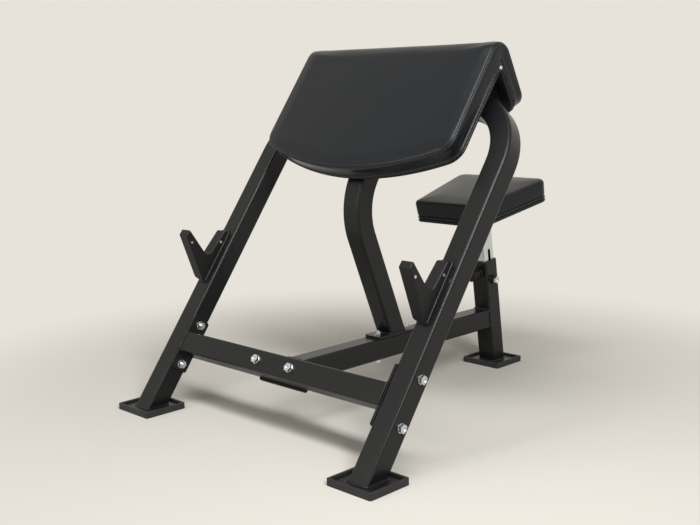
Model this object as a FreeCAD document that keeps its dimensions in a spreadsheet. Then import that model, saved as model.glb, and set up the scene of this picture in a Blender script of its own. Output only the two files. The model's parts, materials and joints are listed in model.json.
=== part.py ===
import FreeCAD, Part
import math
import os

import Sketcher
from FreeCAD import Placement, Rotation, Vector

# Preacher curl bench: a leaning inverted-U frame of square tube carries a wedge-shaped arm pad,
# a spine tube runs back to a rear post, and a tapered seat slides on a chrome post.
# Frame: X to the right seen from the front, Y back towards the seat, Z up, the floor at zero,
# the origin in the middle between the front feet and the rear foot.

# Driving sizes in millimetres and degrees: name, value, what it measures
SIZES = [
    ("tube_side", 50.0, "outside of the square frame tube"),
    ("tube_wall", 2.5, "wall of the frame tube"),
    ("tube_corner", 6.0, "outside corner radius of the frame tube"),
    ("leg_spacing", 700.0, "between the centre lines of the legs"),
    ("leg_lean", 36.0, "backward lean of the legs and the arm pad"),
    ("leg_straight", 727.0, "floor to the start of the leg's bend, along the slope"),
    ("bend_radius", 150.0, "tube bends, at the centre line"),
    ("foot_spread", 864.0, "front feet to rear foot"),
    ("shoe_width", 116.0, "rubber shoe, left to right"),
    ("shoe_depth", 109.0, "rubber shoe, front to back"),
    ("shoe_height", 14.0, "rubber shoe, floor to rim"),
    ("shoe_rim", 6.0, "thickness of the shoe's rim"),
    ("shoe_floor", 4.0, "rubber under the foot plate"),
    ("shoe_corner", 5.0, "corner radius of the shoe"),
    ("foot_plate", 5.0, "thickness of the steel foot plate"),
    ("plate_gap", 0.3, "room between foot plate and shoe rim"),
    ("beam_height", 193.0, "floor to the cross beam's centre, along the slope"),
    ("end_plate", 6.0, "thickness of the beam's end plates"),
    ("end_plate_length", 30.0, "end plate's length beyond its two bolts"),
    ("end_plate_width", 48.0, "end plate across the leg"),
    ("plate_corner", 6.0, "corner radius of the flat steel plates"),
    ("leg_bolt_pitch", 102.0, "between the two bolts of a leg"),
    ("spine_height", 128.5, "floor to the spine tube's centre"),
    ("spine_plate", 6.0, "thickness of the spine's front plate"),
    ("spine_plate_width", 150.0, "spine front plate, left to right"),
    ("spine_plate_drop", 5.0, "spine front plate below the beam"),
    ("spine_plate_rise", 8.5, "spine front plate above the beam"),
    ("spine_bolt_pitch", 107.0, "between the two bolts of the spine plate"),
    ("post_lean", 22.4, "forward lean of the centre post's lower run"),
    ("post_base_setback", 17.0, "centre post's foot in front of its head"),
    ("base_plate", 6.0, "thickness of the centre post's base plate"),
    ("base_plate_length", 136.0, "base plate along the spine"),
    ("base_bolt_pitch", 100.0, "between the two base bolts"),
    ("pad_rail_height", 20.0, "upper pad rail, off the top bar"),
    ("pad_rail_width", 40.0, "upper pad rail, along the slope"),
    ("pad_rail_length", 420.0, "upper pad rail, left to right"),
    ("pad_rail_wall", 2.0, "wall of the upper pad rail"),
    ("plug_lip", 3.0, "end plug's head outside its tube"),
    ("plug_reach", 14.0, "end plug inside its tube"),
    ("lower_plate", 8.0, "thickness of the lower pad plate"),
    ("lower_plate_width", 210.0, "lower pad plate, left to right"),
    ("lower_plate_depth", 46.0, "lower pad plate, along the slope"),
    ("lower_plate_place", 200.0, "ridge to the lower pad plate, along the slope"),
    ("upper_bolt_pitch", 260.0, "between the two long pad bolts"),
    ("lower_bolt_pitch", 160.0, "between the two short pad bolts"),
    ("pad_width", 576.0, "arm pad, left to right"),
    ("pad_rise", 2.5, "rise of the rear board clear of the top bar's rounded edge"),
    ("front_length", 290.0, "front cushion, inner ridge to its lower edge"),
    ("front_edge_radius", 700.0, "curve of the front cushion's lower edge"),
    ("front_corner", 46.0, "corner radius of the front cushion"),
    ("rear_lean", 28.5, "lean of the rear cushion from upright"),
    ("rear_length", 110.0, "rear cushion, inner ridge to its lower edge"),
    ("rear_corner", 34.0, "corner radius of the rear cushion"),
    ("pad_side", 46.0, "arm pad, underside to the upper seam"),
    ("pad_crown", 6.0, "crown of the arm pad above the seam"),
    ("pad_draw", 2.5, "how far the pad sides draw in between the seams"),
    ("pad_spread", 90.0, "how far in from the edge the pad's crown still rises"),
    ("edge_roll", 3.0, "rounded lower edge of the cushions"),
    ("ridge_radius", 38.0, "rounding of the arm pad's ridge"),
    ("board_thickness", 12.0, "plywood boards in the cushions"),
    ("board_inset", 9.0, "board edge inside the cushion's edge"),
    ("angle_leg", 28.0, "flange of the ridge angle"),
    ("angle_thickness", 3.0, "thickness of the ridge angle"),
    ("angle_length", 420.0, "ridge angle, left to right"),
    ("angle_screw_pitch", 180.0, "between the ridge angle's screws"),
    ("tack_radius", 5.0, "head of the bright tack at the ridge"),
    ("tack_height", 2.4, "height of the tack's head"),
    ("tack_rise", 7.0, "tack above the inner ridge"),
    ("tack_pin_radius", 1.0, "tack's pin"),
    ("tack_pin", 6.0, "length of the tack's pin"),
    ("rear_post_lean", 8.25, "forward lean of the rear post"),
    ("rear_post_length", 289.0, "floor to the rear post's top, along the post"),
    ("clamp_drop", 30.0, "rear post's top to the clamp knob"),
    ("limit_drop", 52.0, "rear post's top to the limit bolt"),
    ("slide_side", 40.0, "outside of the chrome seat post"),
    ("slide_wall", 2.0, "wall of the seat post"),
    ("slide_corner", 4.0, "corner radius of the seat post"),
    ("slide_gap", 0.2, "sliding clearance of the seat post, each side"),
    ("slide_low_end", 150.0, "floor to the seat post's lower end, along the post"),
    ("travel_up", 60.0, "seat travel above the shown height"),
    ("travel_down", 78.0, "seat travel below the shown height"),
    ("bush_length", 22.0, "plastic guide bush in the rear post"),
    ("plug_collar", 12.0, "collar of the seat post's end plug"),
    ("slot_width", 10.0, "slot in the seat post"),
    ("slot_gap", 0.5, "limit bolt's tip to the slot's sides and ends"),
    ("limit_gap", 1.0, "limit bolt's shank off the seat post"),
    ("boss_radius", 11.0, "steel bosses on the rear post"),
    ("boss_height", 8.0, "bosses off the tube's face"),
    ("knob_radius", 15.0, "clamp knob"),
    ("knob_length", 24.0, "clamp knob along its stud"),
    ("flute_radius", 4.0, "flutes around the clamp knob"),
    ("flute_depth", 2.0, "depth of the flutes"),
    ("knob_gap", 3.0, "clamp knob off its boss"),
    ("clamp_gap", 0.3, "stud tip to the seat post"),
    ("seat_height", 424.0, "floor to the seat's underside, along the post"),
    ("seat_tilt", 12.5, "forward tilt of the seat"),
    ("seat_forward", 5.0, "seat's centre in front of the post"),
    ("seat_front_width", 213.0, "seat at its front edge"),
    ("seat_rear_width", 285.0, "seat at its rear edge"),
    ("seat_length", 248.0, "seat, front to back"),
    ("seat_front_corner", 13.0, "front corners of the seat"),
    ("seat_rear_corner", 25.0, "rear corners of the seat"),
    ("seat_side", 58.0, "seat, underside to the top edge"),
    ("seat_crown", 5.0, "crown of the seat above the edge"),
    ("seat_draw", 2.0, "how far the seat's sides draw in"),
    ("seat_spread", 60.0, "how far in from the edge the seat's crown still rises"),
    ("seat_plate", 5.0, "thickness of the seat plate"),
    ("seat_plate_side", 130.0, "side of the square seat plate"),
    ("seat_bolt_pitch", 96.0, "between the seat bolts, both ways"),
    ("catch_width", 30.0, "bar catch, left to right"),
    ("catch_shift", 8.5, "middle of both catches to the left of the leg's middle"),
    ("catch_web", 8.0, "steel web inside the catch's cover"),
    ("catch_flange", 4.0, "steel flange on the leg"),
    ("catch_flange_width", 33.0, "flange, left to right"),
    ("catch_place", 342.0, "floor to the catch's lower end, along the slope"),
    ("catch_flange_length", 147.0, "flange along the leg"),
    ("catch_flange_edge", 3.0, "rounded upper edge of the flange"),
    ("catch_slant", 9.0, "rise of the catch's lower end from its right side to its left"),
    ("catch_corner", 3.0, "rounded corners of the catch's outline"),
    ("notch_round", 12.0, "rounding at the bottom of the catch's notch"),
    ("catch_skin", 4.0, "plastic around the steel web"),
    ("catch_edge", 2.5, "rounded edges of the catch's cover"),
    ("catch_screw_head", 3.2, "radius of the catch screws' heads"),
    ("catch_screw_rise", 1.4, "height of the catch screws' heads"),
    ("catch_screw_radius", 1.6, "shank of the catch screws"),
    ("catch_screw_gap", 0.2, "catch screw to its hole"),
    ("bolt_radius", 5.0, "M10 bolts"),
    ("bolt_hole_gap", 0.5, "bolt to its hole"),
    ("bolt_head_flats", 17.0, "across the flats of M10 heads and nuts"),
    ("bolt_head", 6.4, "height of M10 heads"),
    ("head_dish", 1.2, "depth of the dish in a bolt's head"),
    ("nut_height", 6.5, "hexagon of the M10 lock nuts"),
    ("nut_collar", 2.5, "round collar of the lock nuts"),
    ("nut_collar_radius", 7.2, "radius of the round collar"),
    ("bolt_proud", 2.5, "thread beyond the nut"),
    ("washer_radius", 10.0, "outside of M10 washers"),
    ("washer_thickness", 2.0, "thickness of the washers"),
    ("thread_gap", 0.05, "bolt to its nut, insert or threaded boss"),
    ("small_bolt_radius", 4.0, "M8 bolts"),
    ("small_head_flats", 13.0, "across the flats of M8 heads"),
    ("small_head", 5.3, "height of M8 heads"),
    ("small_washer_radius", 8.0, "outside of M8 washers"),
    ("bolt_tip_gap", 1.0, "tip of an M8 bolt below the top of its insert"),
    ("insert_radius", 6.0, "threaded inserts in the boards"),
    ("screw_radius", 2.0, "wood screws of the ridge angle"),
    ("screw_head_radius", 4.0, "heads of the wood screws"),
    ("screw_head", 2.2, "height of the wood screws' heads"),
    ("screw_reach", 9.0, "wood screws inside the board"),
]
size = {alias: value for alias, value, note in SIZES}

doc = FreeCAD.newDocument("preacher_curl_bench")


def fill_sheet(title, rows):
    """Write names, values and notes to a sheet whose cells carry the names as aliases."""
    sheet = doc.addObject("Spreadsheet::Sheet", title)
    for row, (alias, value, note) in enumerate(rows, start=1):
        sheet.set(f"A{row}", note)
        sheet.set(f"B{row}", f"{value:.9f}")
        sheet.setAlias(f"B{row}", alias)
    return sheet


fill_sheet("sizes", SIZES)


# Places worked out from the driving sizes
def degrees_of(name):
    return math.radians(size[name])


sin_leg, cos_leg = math.sin(degrees_of("leg_lean")), math.cos(degrees_of("leg_lean"))
tan_post = math.tan(degrees_of("post_lean"))
sin_rear, cos_rear = math.sin(degrees_of("rear_post_lean")), math.cos(degrees_of("rear_post_lean"))
seat_swing = size["seat_tilt"] - size["rear_post_lean"]
tan_swing = math.tan(math.radians(seat_swing))
half_ridge = math.radians((size["leg_lean"] + size["rear_lean"]) / 2)

# radius of the dish in a bolt's head, as a share of its width across the flats
DISH_SHARE = 0.3

tube_half = size["tube_side"] / 2
slide_half = size["slide_side"] / 2
foot_top = size["shoe_floor"] + size["foot_plate"]
front_foot = -size["foot_spread"] / 2
rear_foot = size["foot_spread"] / 2
spine_top = size["spine_height"] + tube_half
pad_total = size["pad_side"] + size["pad_crown"]
clamp_height = size["rear_post_length"] - size["clamp_drop"]
limit_height = size["rear_post_length"] - size["limit_drop"]
dog_radius = size["slot_width"] / 2 - size["slot_gap"]
bolt_grip = size["tube_side"] + size["end_plate"] + 2 * size["washer_thickness"]
insert_reach = size["washer_thickness"] + size["board_thickness"] - size["bolt_tip_gap"]

# The leg's centre line meets the floor plane of the foot plates above the front shoes' centre,
# so the front face of the leg starts half a tube's slanted depth in front of it.
leg_front_floor = front_foot - tube_half / cos_leg - foot_top * sin_leg / cos_leg


def slope_point(along, out):
    """Height and depth of a point given along the leg's slope and out of its front face."""
    return (leg_front_floor + along * sin_leg - out * cos_leg, along * cos_leg + out * sin_leg)


def floor_along(out, height):
    """Distance along the slope at which a line parallel to the leg crosses a height."""
    return (height - out * sin_leg) / cos_leg


# The spine meets its front plate on the plate's slanted rear face
plate_rear = -(size["tube_side"] + size["spine_plate"])


def spine_front(height):
    return slope_point(floor_along(plate_rear, height), plate_rear)[0]


def post_front_face(height):
    """Depth of the rear post's front face at a height."""
    return rear_foot - height * sin_rear / cos_rear - tube_half / cos_rear


spine_middle = (spine_front(size["spine_height"]) + post_front_face(size["spine_height"])) / 2
spine_half_length = (post_front_face(0.0) - spine_front(0.0)) / 2 + size["tube_side"]

# The inner ridge stands where the rear board just clears the rounded rear edge of the top bar
wedge = 2 * half_ridge
bar_middle = size["leg_straight"] + size["bend_radius"]
edge_cover = (size["tube_side"] + size["pad_rail_height"]) * math.cos(wedge) + size["pad_rise"]
edge_relief = size["tube_corner"] * (math.sin(wedge) + math.cos(wedge) - 1)
ridge_along = bar_middle + tube_half + (edge_cover - edge_relief) / math.sin(wedge)

# Centre post: a lower run that leans forward and an upper run along the pad, joined by one bend
base_top = spine_top + size["base_plate"]
post_out = size["pad_rail_height"] - size["lower_plate"] - tube_half
bar_under = bar_middle - tube_half
post_head_y, post_head_z = slope_point(bar_under, post_out)
post_foot = post_head_y - size["post_base_setback"]
# the lower run is y = post_foot - tan_post * (z - base_top), the upper one passes the head
upper_slope = sin_leg / cos_leg
corner_z = post_foot + tan_post * base_top - post_head_y + upper_slope * post_head_z
corner_z = corner_z / (upper_slope + tan_post)
corner_y = post_foot - tan_post * (corner_z - base_top)
post_turn = math.radians(size["post_lean"] + size["leg_lean"])
post_tangent = size["bend_radius"] * math.tan(post_turn / 2)
lower_run = math.hypot(corner_y - post_foot, corner_z - base_top)
upper_run = math.hypot(post_head_y - corner_y, post_head_z - corner_z)

places = {
    "tube_half": tube_half,
    "tube_flat": tube_half - size["tube_corner"],
    "bore_half": tube_half - size["tube_wall"],
    "bore_flat": tube_half - size["tube_corner"],
    "bore_corner": size["tube_corner"] - size["tube_wall"],
    "leg_half": size["leg_spacing"] / 2,
    "bend_in": size["leg_spacing"] / 2 - size["bend_radius"],
    "bend_foot": size["leg_straight"],
    "bar_middle": bar_middle,
    "path_start": 0.0,
    "cut_far": -2 * size["tube_side"],
    "cut_front": tube_half,
    "cut_rear": -size["tube_side"] - tube_half,
    "cut_front_along": floor_along(tube_half, foot_top),
    "cut_rear_along": floor_along(-size["tube_side"] - tube_half, foot_top),
    "leg_bolt_low": size["beam_height"] - size["leg_bolt_pitch"] / 2,
    "leg_bolt_high": size["beam_height"] + size["leg_bolt_pitch"] / 2,
    "bolt_hole": size["bolt_radius"] + size["bolt_hole_gap"],
    "small_hole": size["small_bolt_radius"] + size["bolt_hole_gap"],
    "beam_length": size["leg_spacing"] - size["tube_side"] - 2 * size["end_plate"],
    "spine_bolt_half": size["spine_bolt_pitch"] / 2,
    "upper_bolt_half": size["upper_bolt_pitch"] / 2,
    "lower_bolt_half": size["lower_bolt_pitch"] / 2,
    "spine_length": 2 * spine_half_length,
    "spine_cut": spine_half_length + size["tube_side"],
    "spine_front_low": spine_front(spine_top - 2 * size["tube_side"]) - spine_middle,
    "spine_front_high": spine_front(spine_top + size["tube_side"]) - spine_middle,
    "spine_rear_low": post_front_face(spine_top - 2 * size["tube_side"]) - spine_middle,
    "spine_rear_high": post_front_face(spine_top + size["tube_side"]) - spine_middle,
    "spine_cut_low": -tube_half - size["tube_side"],
    "spine_cut_high": tube_half + size["tube_side"],
    "base_bolt_front": post_foot - size["base_bolt_pitch"] / 2 - spine_middle,
    "base_bolt_rear": post_foot + size["base_bolt_pitch"] / 2 - spine_middle,
    "post_path_low": -size["tube_side"],
    "post_bend_low": lower_run - post_tangent,
    "post_bend_y": size["bend_radius"] * (1 - math.cos(post_turn)),
    "post_bend_z": lower_run - post_tangent + size["bend_radius"] * math.sin(post_turn),
    "post_end_y": upper_run * math.sin(post_turn),
    "post_end_z": lower_run + upper_run * math.cos(post_turn),
    "post_cut": size["tube_side"],
    "post_cut_front": size["tube_side"] * tan_post,
    "rear_post_tube": size["rear_post_length"] + size["tube_side"],
    "rear_cut_front": (foot_top + size["tube_side"] * sin_rear) / cos_rear,
    "rear_cut_back": (foot_top - size["tube_side"] * sin_rear) / cos_rear,
    "slide_half": slide_half,
    "slide_flat": slide_half - size["slide_corner"],
    "slide_bore_half": slide_half - size["slide_wall"],
    "slide_bore_corner": size["slide_corner"] - size["slide_wall"],
    "slide_length": size["seat_height"] + size["tube_side"] - size["slide_low_end"],
    "slide_cut_side": size["tube_side"],
    "slide_cut_top": size["seat_height"] + 3 * size["tube_side"],
    "slide_top_front": size["seat_height"] - size["seat_plate"] / math.cos(math.radians(seat_swing))
    - size["tube_side"] * tan_swing,
    "slide_top_rear": size["seat_height"] - size["seat_plate"] / math.cos(math.radians(seat_swing))
    + size["tube_side"] * tan_swing,
    "slot_half": size["slot_width"] / 2,
    "slot_high_end": limit_height + size["travel_down"] + size["slot_width"] / 2,
    "slot_high": limit_height + size["travel_down"],
    "slot_low": limit_height - size["travel_up"],
    "slot_low_end": limit_height - size["travel_up"] - size["slot_width"] / 2,
    "clamp_height": clamp_height,
    "limit_height": limit_height,
    "bush_low": size["rear_post_length"] - size["bush_length"],
    "bush_half": tube_half - size["tube_wall"],
    "bush_flat": tube_half - size["tube_corner"],
    "bush_corner": size["tube_corner"] - size["tube_wall"],
    "bush_bore_half": slide_half + size["slide_gap"],
    "bush_bore_flat": slide_half - size["slide_corner"],
    "bush_bore_corner": size["slide_corner"] + size["slide_gap"],
    "plug_half": tube_half - size["tube_wall"] - size["slide_gap"],
    "plug_flat": tube_half - size["tube_corner"],
    "plug_corner": size["tube_corner"] - size["tube_wall"] - size["slide_gap"],
    "plug_low": size["slide_low_end"] - size["plug_collar"],
    "shoe_half_width": size["shoe_width"] / 2,
    "shoe_half_depth": size["shoe_depth"] / 2,
    "foot_half_width": size["shoe_width"] / 2 - size["shoe_rim"] - size["plate_gap"],
    "foot_half_depth": size["shoe_depth"] / 2 - size["shoe_rim"] - size["plate_gap"],
    "tray_half_width": size["shoe_width"] / 2 - size["shoe_rim"],
    "tray_half_depth": size["shoe_depth"] / 2 - size["shoe_rim"],
    "tray_depth": size["shoe_height"] - size["shoe_floor"],
    "end_plate_half": size["end_plate_width"] / 2,
    "end_plate_reach": (size["leg_bolt_pitch"] + size["end_plate_length"]) / 2,
    "bolt_half_pitch": size["leg_bolt_pitch"] / 2,
    "spine_plate_half": size["spine_plate_width"] / 2,
    "spine_plate_low": -tube_half - size["spine_plate_drop"],
    "spine_plate_high": tube_half + size["spine_plate_rise"],
    "base_half_length": size["base_plate_length"] / 2,
    "base_half_pitch": size["base_bolt_pitch"] / 2,
    "rail_half_width": size["pad_rail_width"] / 2,
    "rail_half_height": size["pad_rail_height"] / 2,
    "rail_bore_width": size["pad_rail_width"] / 2 - size["pad_rail_wall"],
    "rail_bore_height": size["pad_rail_height"] / 2 - size["pad_rail_wall"],
    "lower_half_width": size["lower_plate_width"] / 2,
    "lower_half_depth": size["lower_plate_depth"] / 2,
    "seat_plate_half": size["seat_plate_side"] / 2,
    "seat_bolt_half": size["seat_bolt_pitch"] / 2,
    "insert_bore": size["small_bolt_radius"] + size["thread_gap"],
    "nut_bore": size["bolt_radius"] + size["thread_gap"],
    "washer_bore": size["bolt_radius"] + size["bolt_hole_gap"],
    "small_washer_bore": size["small_bolt_radius"] + size["bolt_hole_gap"],
    "bolt_corner": size["bolt_head_flats"] / math.sqrt(3),
    "bolt_corner_half": size["bolt_head_flats"] / math.sqrt(3) / 2,
    "bolt_flat": size["bolt_head_flats"] / 2,
    "bolt_dish": size["bolt_head_flats"] * DISH_SHARE,
    "small_corner": size["small_head_flats"] / math.sqrt(3),
    "small_corner_half": size["small_head_flats"] / math.sqrt(3) / 2,
    "small_flat": size["small_head_flats"] / 2,
    "small_dish": size["small_head_flats"] * DISH_SHARE,
    "bolt_length": bolt_grip + size["nut_height"] + size["nut_collar"] + size["bolt_proud"],
    "long_bolt_length": size["tube_side"] + size["pad_rail_height"] + insert_reach,
    "short_bolt_length": size["lower_plate"] + insert_reach,
    "seat_bolt_length": size["seat_plate"] + insert_reach,
    "dog_radius": dog_radius,
    "limit_shank": size["boss_height"] + tube_half - slide_half - size["limit_gap"],
    "limit_length": size["boss_height"] + tube_half - slide_half + 2 * size["slide_wall"],
    "stud_length": tube_half + size["boss_height"] - slide_half - size["clamp_gap"]
    + size["knob_gap"] + size["knob_length"] / 2,
    "knob_middle": size["knob_length"] / 2,
    "flute_out": size["knob_radius"] - size["flute_depth"] + size["flute_radius"],
    "flange_half": size["catch_flange_width"] / 2,
}


# Outline of the bar catch: along the slope from its lower end, and out of the leg's face.
# The notch between the arms takes a bar; both arms lean away from it.
CATCH = {
    "heel": (2.0, size["catch_flange"]),
    "toe": (13.0, 21.5),
    "horn_outer": (71.5, 110.0),
    "horn_top": (88.5, 109.0),
    "notch": (59.5, 25.0),
    "arm_inner": (137.0, 16.0),
    "arm_top": (141.0, 10.0),
    "arm_heel": (141.0, size["catch_flange"]),
}
CATCH_SCREWS = {
    "screw_front": (65.5, 87.5),
    "screw_rear": (109.0, 12.0),
}
for spot, (along, out) in {**CATCH, **CATCH_SCREWS}.items():
    places[f"{spot}_along"] = along
    places[f"{spot}_out"] = out
places["tack_dome"] = (size["tack_radius"] ** 2 + size["tack_height"] ** 2) / (2 * size["tack_height"])
places["screw_hole_catch"] = size["catch_screw_radius"] + size["catch_screw_gap"]
places["catch_screw_length"] = (size["catch_width"] + size["catch_web"]) / 2


def inset_outline(points, inset):
    """Corners of a convex outline, taken anticlockwise, moved inwards by the same inset on every side."""
    moved = []
    count = len(points)
    for index in range(count):
        before, here, after = points[index - 1], points[index], points[(index + 1) % count]
        lines = []
        for start, end in ((before, here), (here, after)):
            run = (end[0] - start[0], end[1] - start[1])
            length = math.hypot(*run)
            inward = (-run[1] / length, run[0] / length)
            lines.append((start[0] + inward[0] * inset, start[1] + inward[1] * inset, run[0], run[1]))
        (ax, ay, adx, ady), (bx, by, bdx, bdy) = lines
        cross = adx * bdy - ady * bdx
        step = ((bx - ax) * bdy - (by - ay) * bdx) / cross
        moved.append((ax + adx * step, ay + ady * step))
    return moved


# The steel web keeps a skin of plastic around it and runs down into the flange
web_corners = inset_outline(list(reversed(CATCH.values())), size["catch_skin"])
for index, (along, out) in enumerate(web_corners):
    at_foot = index in (0, len(web_corners) - 1)
    places[f"web_along_{index}_"] = along
    places[f"web_out_{index}_"] = size["catch_flange"] / 2 if at_foot else out


# Plan of the arm pad's cushions: down the slope from the inner ridge, lower edge curved or straight
def front_plan(inset):
    """Side, corner and edge points of the front cushion's plan, moved in by an inset."""
    wide = size["pad_width"] / 2 - inset
    edge = size["front_edge_radius"] - inset
    corner = max(size["front_corner"] - inset, size["front_corner"] / 4)
    centre = size["front_length"] - size["front_edge_radius"]
    corner_x = wide - corner
    corner_down = centre + math.sqrt((edge - corner) ** 2 - corner_x ** 2)
    share = edge / (edge - corner)
    return {
        "wide": wide,
        "side_end": corner_down,
        "edge_x": corner_x * share,
        "edge_down": centre + (corner_down - centre) * share,
        "low": centre + edge,
        "corner": corner,
        "edge": edge,
        "centre": centre,
        "corner_x": corner_x,
    }


board_plan = front_plan(size["board_inset"])
board_mitre = size["board_thickness"] / math.tan(half_ridge)
places.update({
    "board_wide": board_plan["wide"],
    "board_side_end": board_plan["side_end"],
    "board_edge_x": board_plan["edge_x"],
    "board_edge_down": board_plan["edge_down"],
    "board_corner": board_plan["corner"],
    "board_edge": board_plan["edge"],
    "board_top": -2 * board_mitre,
    "board_double": 2 * size["board_thickness"],
    "mitre_low": board_mitre,
    "mitre_high": -2 * board_mitre,
    "mitre_far": -4 * board_mitre,
    "rear_board_low": size["rear_length"] - size["board_inset"],
    "rear_board_corner": max(size["rear_corner"] - size["board_inset"], size["rear_corner"] / 4),
    "upper_bolt_down": ridge_along - bar_middle,
    "lower_bolt_down": size["lower_plate_place"],
    "screw_length": size["angle_thickness"] + size["screw_reach"],
    "angle_screw_half": size["angle_screw_pitch"] / 2,
    "angle_screw_down": size["angle_leg"] * 0.6,
})

SEAT_PLAN = [
    (-size["seat_front_width"] / 2, -size["seat_length"] / 2),
    (size["seat_front_width"] / 2, -size["seat_length"] / 2),
    (size["seat_rear_width"] / 2, size["seat_length"] / 2),
    (-size["seat_rear_width"] / 2, size["seat_length"] / 2),
]
SEAT_SPOTS = ["front_left", "front_right", "rear_right", "rear_left"]
for spot, (across, back) in zip(SEAT_SPOTS, inset_outline(SEAT_PLAN, size["board_inset"])):
    places[f"seat_board_{spot}_x"] = across
    places[f"seat_board_{spot}_y"] = back
for end in ("front", "rear"):
    corner = size[f"seat_{end}_corner"]
    places[f"seat_board_{end}_corner"] = max(corner - size["board_inset"], corner / 4)

fill_sheet("places", [(alias, value, "worked out from the sizes") for alias, value in places.items()])
doc.recompute()


def cell(name):
    """Reference to a named cell of either sheet; a leading minus takes its negative."""
    sign = "-" if name.startswith("-") else ""
    bare = name.lstrip("-")
    return f"{sign}{'sizes' if bare in size else 'places'}.{bare}"


def number(name):
    """Value of a named cell, with the same leading minus."""
    bare = name.lstrip("-")
    value = size[bare] if bare in size else places[bare]
    return -value if name.startswith("-") else value


# Frames of the pieces
leg_frame_place = Placement(Vector(0, leg_front_floor, 0), Rotation(Vector(1, 0, 0), 90 - size["leg_lean"]))
ridge_y, ridge_z = slope_point(ridge_along, size["pad_rail_height"])
front_pad_place = Placement(
    Vector(0, ridge_y, ridge_z),
    Rotation(Vector(1, 0, 0), 90 - size["leg_lean"]).multiply(Rotation(Vector(0, 0, 1), 180)),
)
rear_pad_place = Placement(Vector(0, ridge_y, ridge_z), Rotation(Vector(1, 0, 0), size["rear_lean"] - 90))
rear_post_place = Placement(Vector(0, rear_foot, 0), Rotation(Vector(1, 0, 0), size["rear_post_lean"]))
seat_place = rear_post_place.multiply(
    Placement(Vector(0, 0, size["seat_height"]), Rotation(Vector(1, 0, 0), seat_swing))
)
spine_place = Placement(Vector(0, spine_middle, size["spine_height"]), Rotation())
centre_post_place = Placement(Vector(0, post_foot, base_top), Rotation(Vector(1, 0, 0), size["post_lean"]))

def shifted(frame, across, along, out, turn=None):
    """A frame moved, and perhaps turned, within another frame."""
    return frame.multiply(Placement(Vector(across, along, out), turn or Rotation()))


# Drawing helpers
parts = []


def keep(piece, label):
    """Name a finished piece; its name is also its file's name."""
    piece.Label = label
    parts.append(piece)
    return piece


def new_body(label, frame):
    body = doc.addObject("PartDesign::Body", label)
    body.Placement = frame
    return keep(body, label)


def plane_of(body, role):
    return next(feature for feature in body.Origin.OriginFeatures if feature.Role == role)


def sketch_on(body, role, shift=None):
    """A sketch on one of the body's own planes, moved by named cells along its x, y or normal z."""
    sketch = body.newObject("Sketcher::SketchObject", f"{body.Name}_sketch")
    sketch.AttachmentSupport = [(plane_of(body, role), "")]
    sketch.MapMode = "FlatFace"
    for axis, name in (shift or {}).items():
        sketch.setExpression(f"AttachmentOffset.Base.{axis}", cell(name))
    return sketch


def bind(sketch, constraint, name):
    index = sketch.addConstraint(constraint)
    sketch.setExpression(f"Constraints[{index}]", cell(name))


def outline(sketch, corners, arcs=None, closed=True):
    """Lines, and arcs where a side has a radius and a turn (1 left, -1 right), through named corners."""
    arcs = arcs or {}
    spots = [Vector(number(across), number(up), 0) for across, up in corners]
    sides = len(spots) if closed else len(spots) - 1
    ends = []
    for index in range(sides):
        start, end = spots[index], spots[(index + 1) % len(spots)]
        if index not in arcs:
            geometry = sketch.addGeometry(Part.LineSegment(start, end), False)
            ends.append((geometry, 1, 2))
            continue
        radius_name, turn = arcs[index]
        radius = number(radius_name)
        chord = end.sub(start)
        rise = math.sqrt(max(radius ** 2 - chord.Length ** 2 / 4, 0.0))
        normal = Vector(-chord.y, chord.x, 0).normalize()
        centre = start.add(chord.multiply(0.5)).add(normal.multiply(rise * turn))
        first, last = (start, end) if turn > 0 else (end, start)
        angles = [math.atan2(spot.y - centre.y, spot.x - centre.x) for spot in (first, last)]
        circle = Part.Circle(centre, Vector(0, 0, 1), radius)
        geometry = sketch.addGeometry(Part.ArcOfCircle(circle, *angles), False)
        ends.append((geometry, 1, 2) if turn > 0 else (geometry, 2, 1))
        bind(sketch, Sketcher.Constraint("Radius", geometry, radius), radius_name)
    for index in range(sides if closed else sides - 1):
        here, after = ends[index], ends[(index + 1) % sides]
        sketch.addConstraint(Sketcher.Constraint("Coincident", here[0], here[2], after[0], after[1]))
    for index, (across, up) in enumerate(corners):
        geometry, point = (ends[index][0], ends[index][1]) if index < sides else (ends[-1][0], ends[-1][2])
        bind(sketch, Sketcher.Constraint("DistanceX", -1, 1, geometry, point, number(across)), across)
        bind(sketch, Sketcher.Constraint("DistanceY", -1, 1, geometry, point, number(up)), up)


def rectangle(sketch, left, low, right, high):
    outline(sketch, [(left, low), (right, low), (right, high), (left, high)])


def rounded_square(sketch, half, flat, corner):
    """A square about the sketch's origin with rounded corners."""
    corners = [
        (f"-{flat}", f"-{half}"), (flat, f"-{half}"), (half, f"-{flat}"), (half, flat),
        (flat, half), (f"-{flat}", half), (f"-{half}", flat), (f"-{half}", f"-{flat}"),
    ]
    outline(sketch, corners, {side: (corner, 1) for side in (1, 3, 5, 7)})


def circle(sketch, across, up, radius):
    centre = Vector(number(across), number(up), 0)
    geometry = sketch.addGeometry(Part.Circle(centre, Vector(0, 0, 1), number(radius)), False)
    bind(sketch, Sketcher.Constraint("DistanceX", -1, 1, geometry, 3, centre.x), across)
    bind(sketch, Sketcher.Constraint("DistanceY", -1, 1, geometry, 3, centre.y), up)
    bind(sketch, Sketcher.Constraint("Radius", geometry, number(radius)), radius)


def pad(body, sketch, length, symmetric=False, reverse=False):
    feature = body.newObject("PartDesign::Pad", f"{body.Name}_pad")
    feature.Profile = sketch
    feature.SideType = "Symmetric" if symmetric else "One side"
    feature.Reversed = reverse
    feature.setExpression("Length", cell(length))
    doc.recompute()
    return feature


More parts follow.
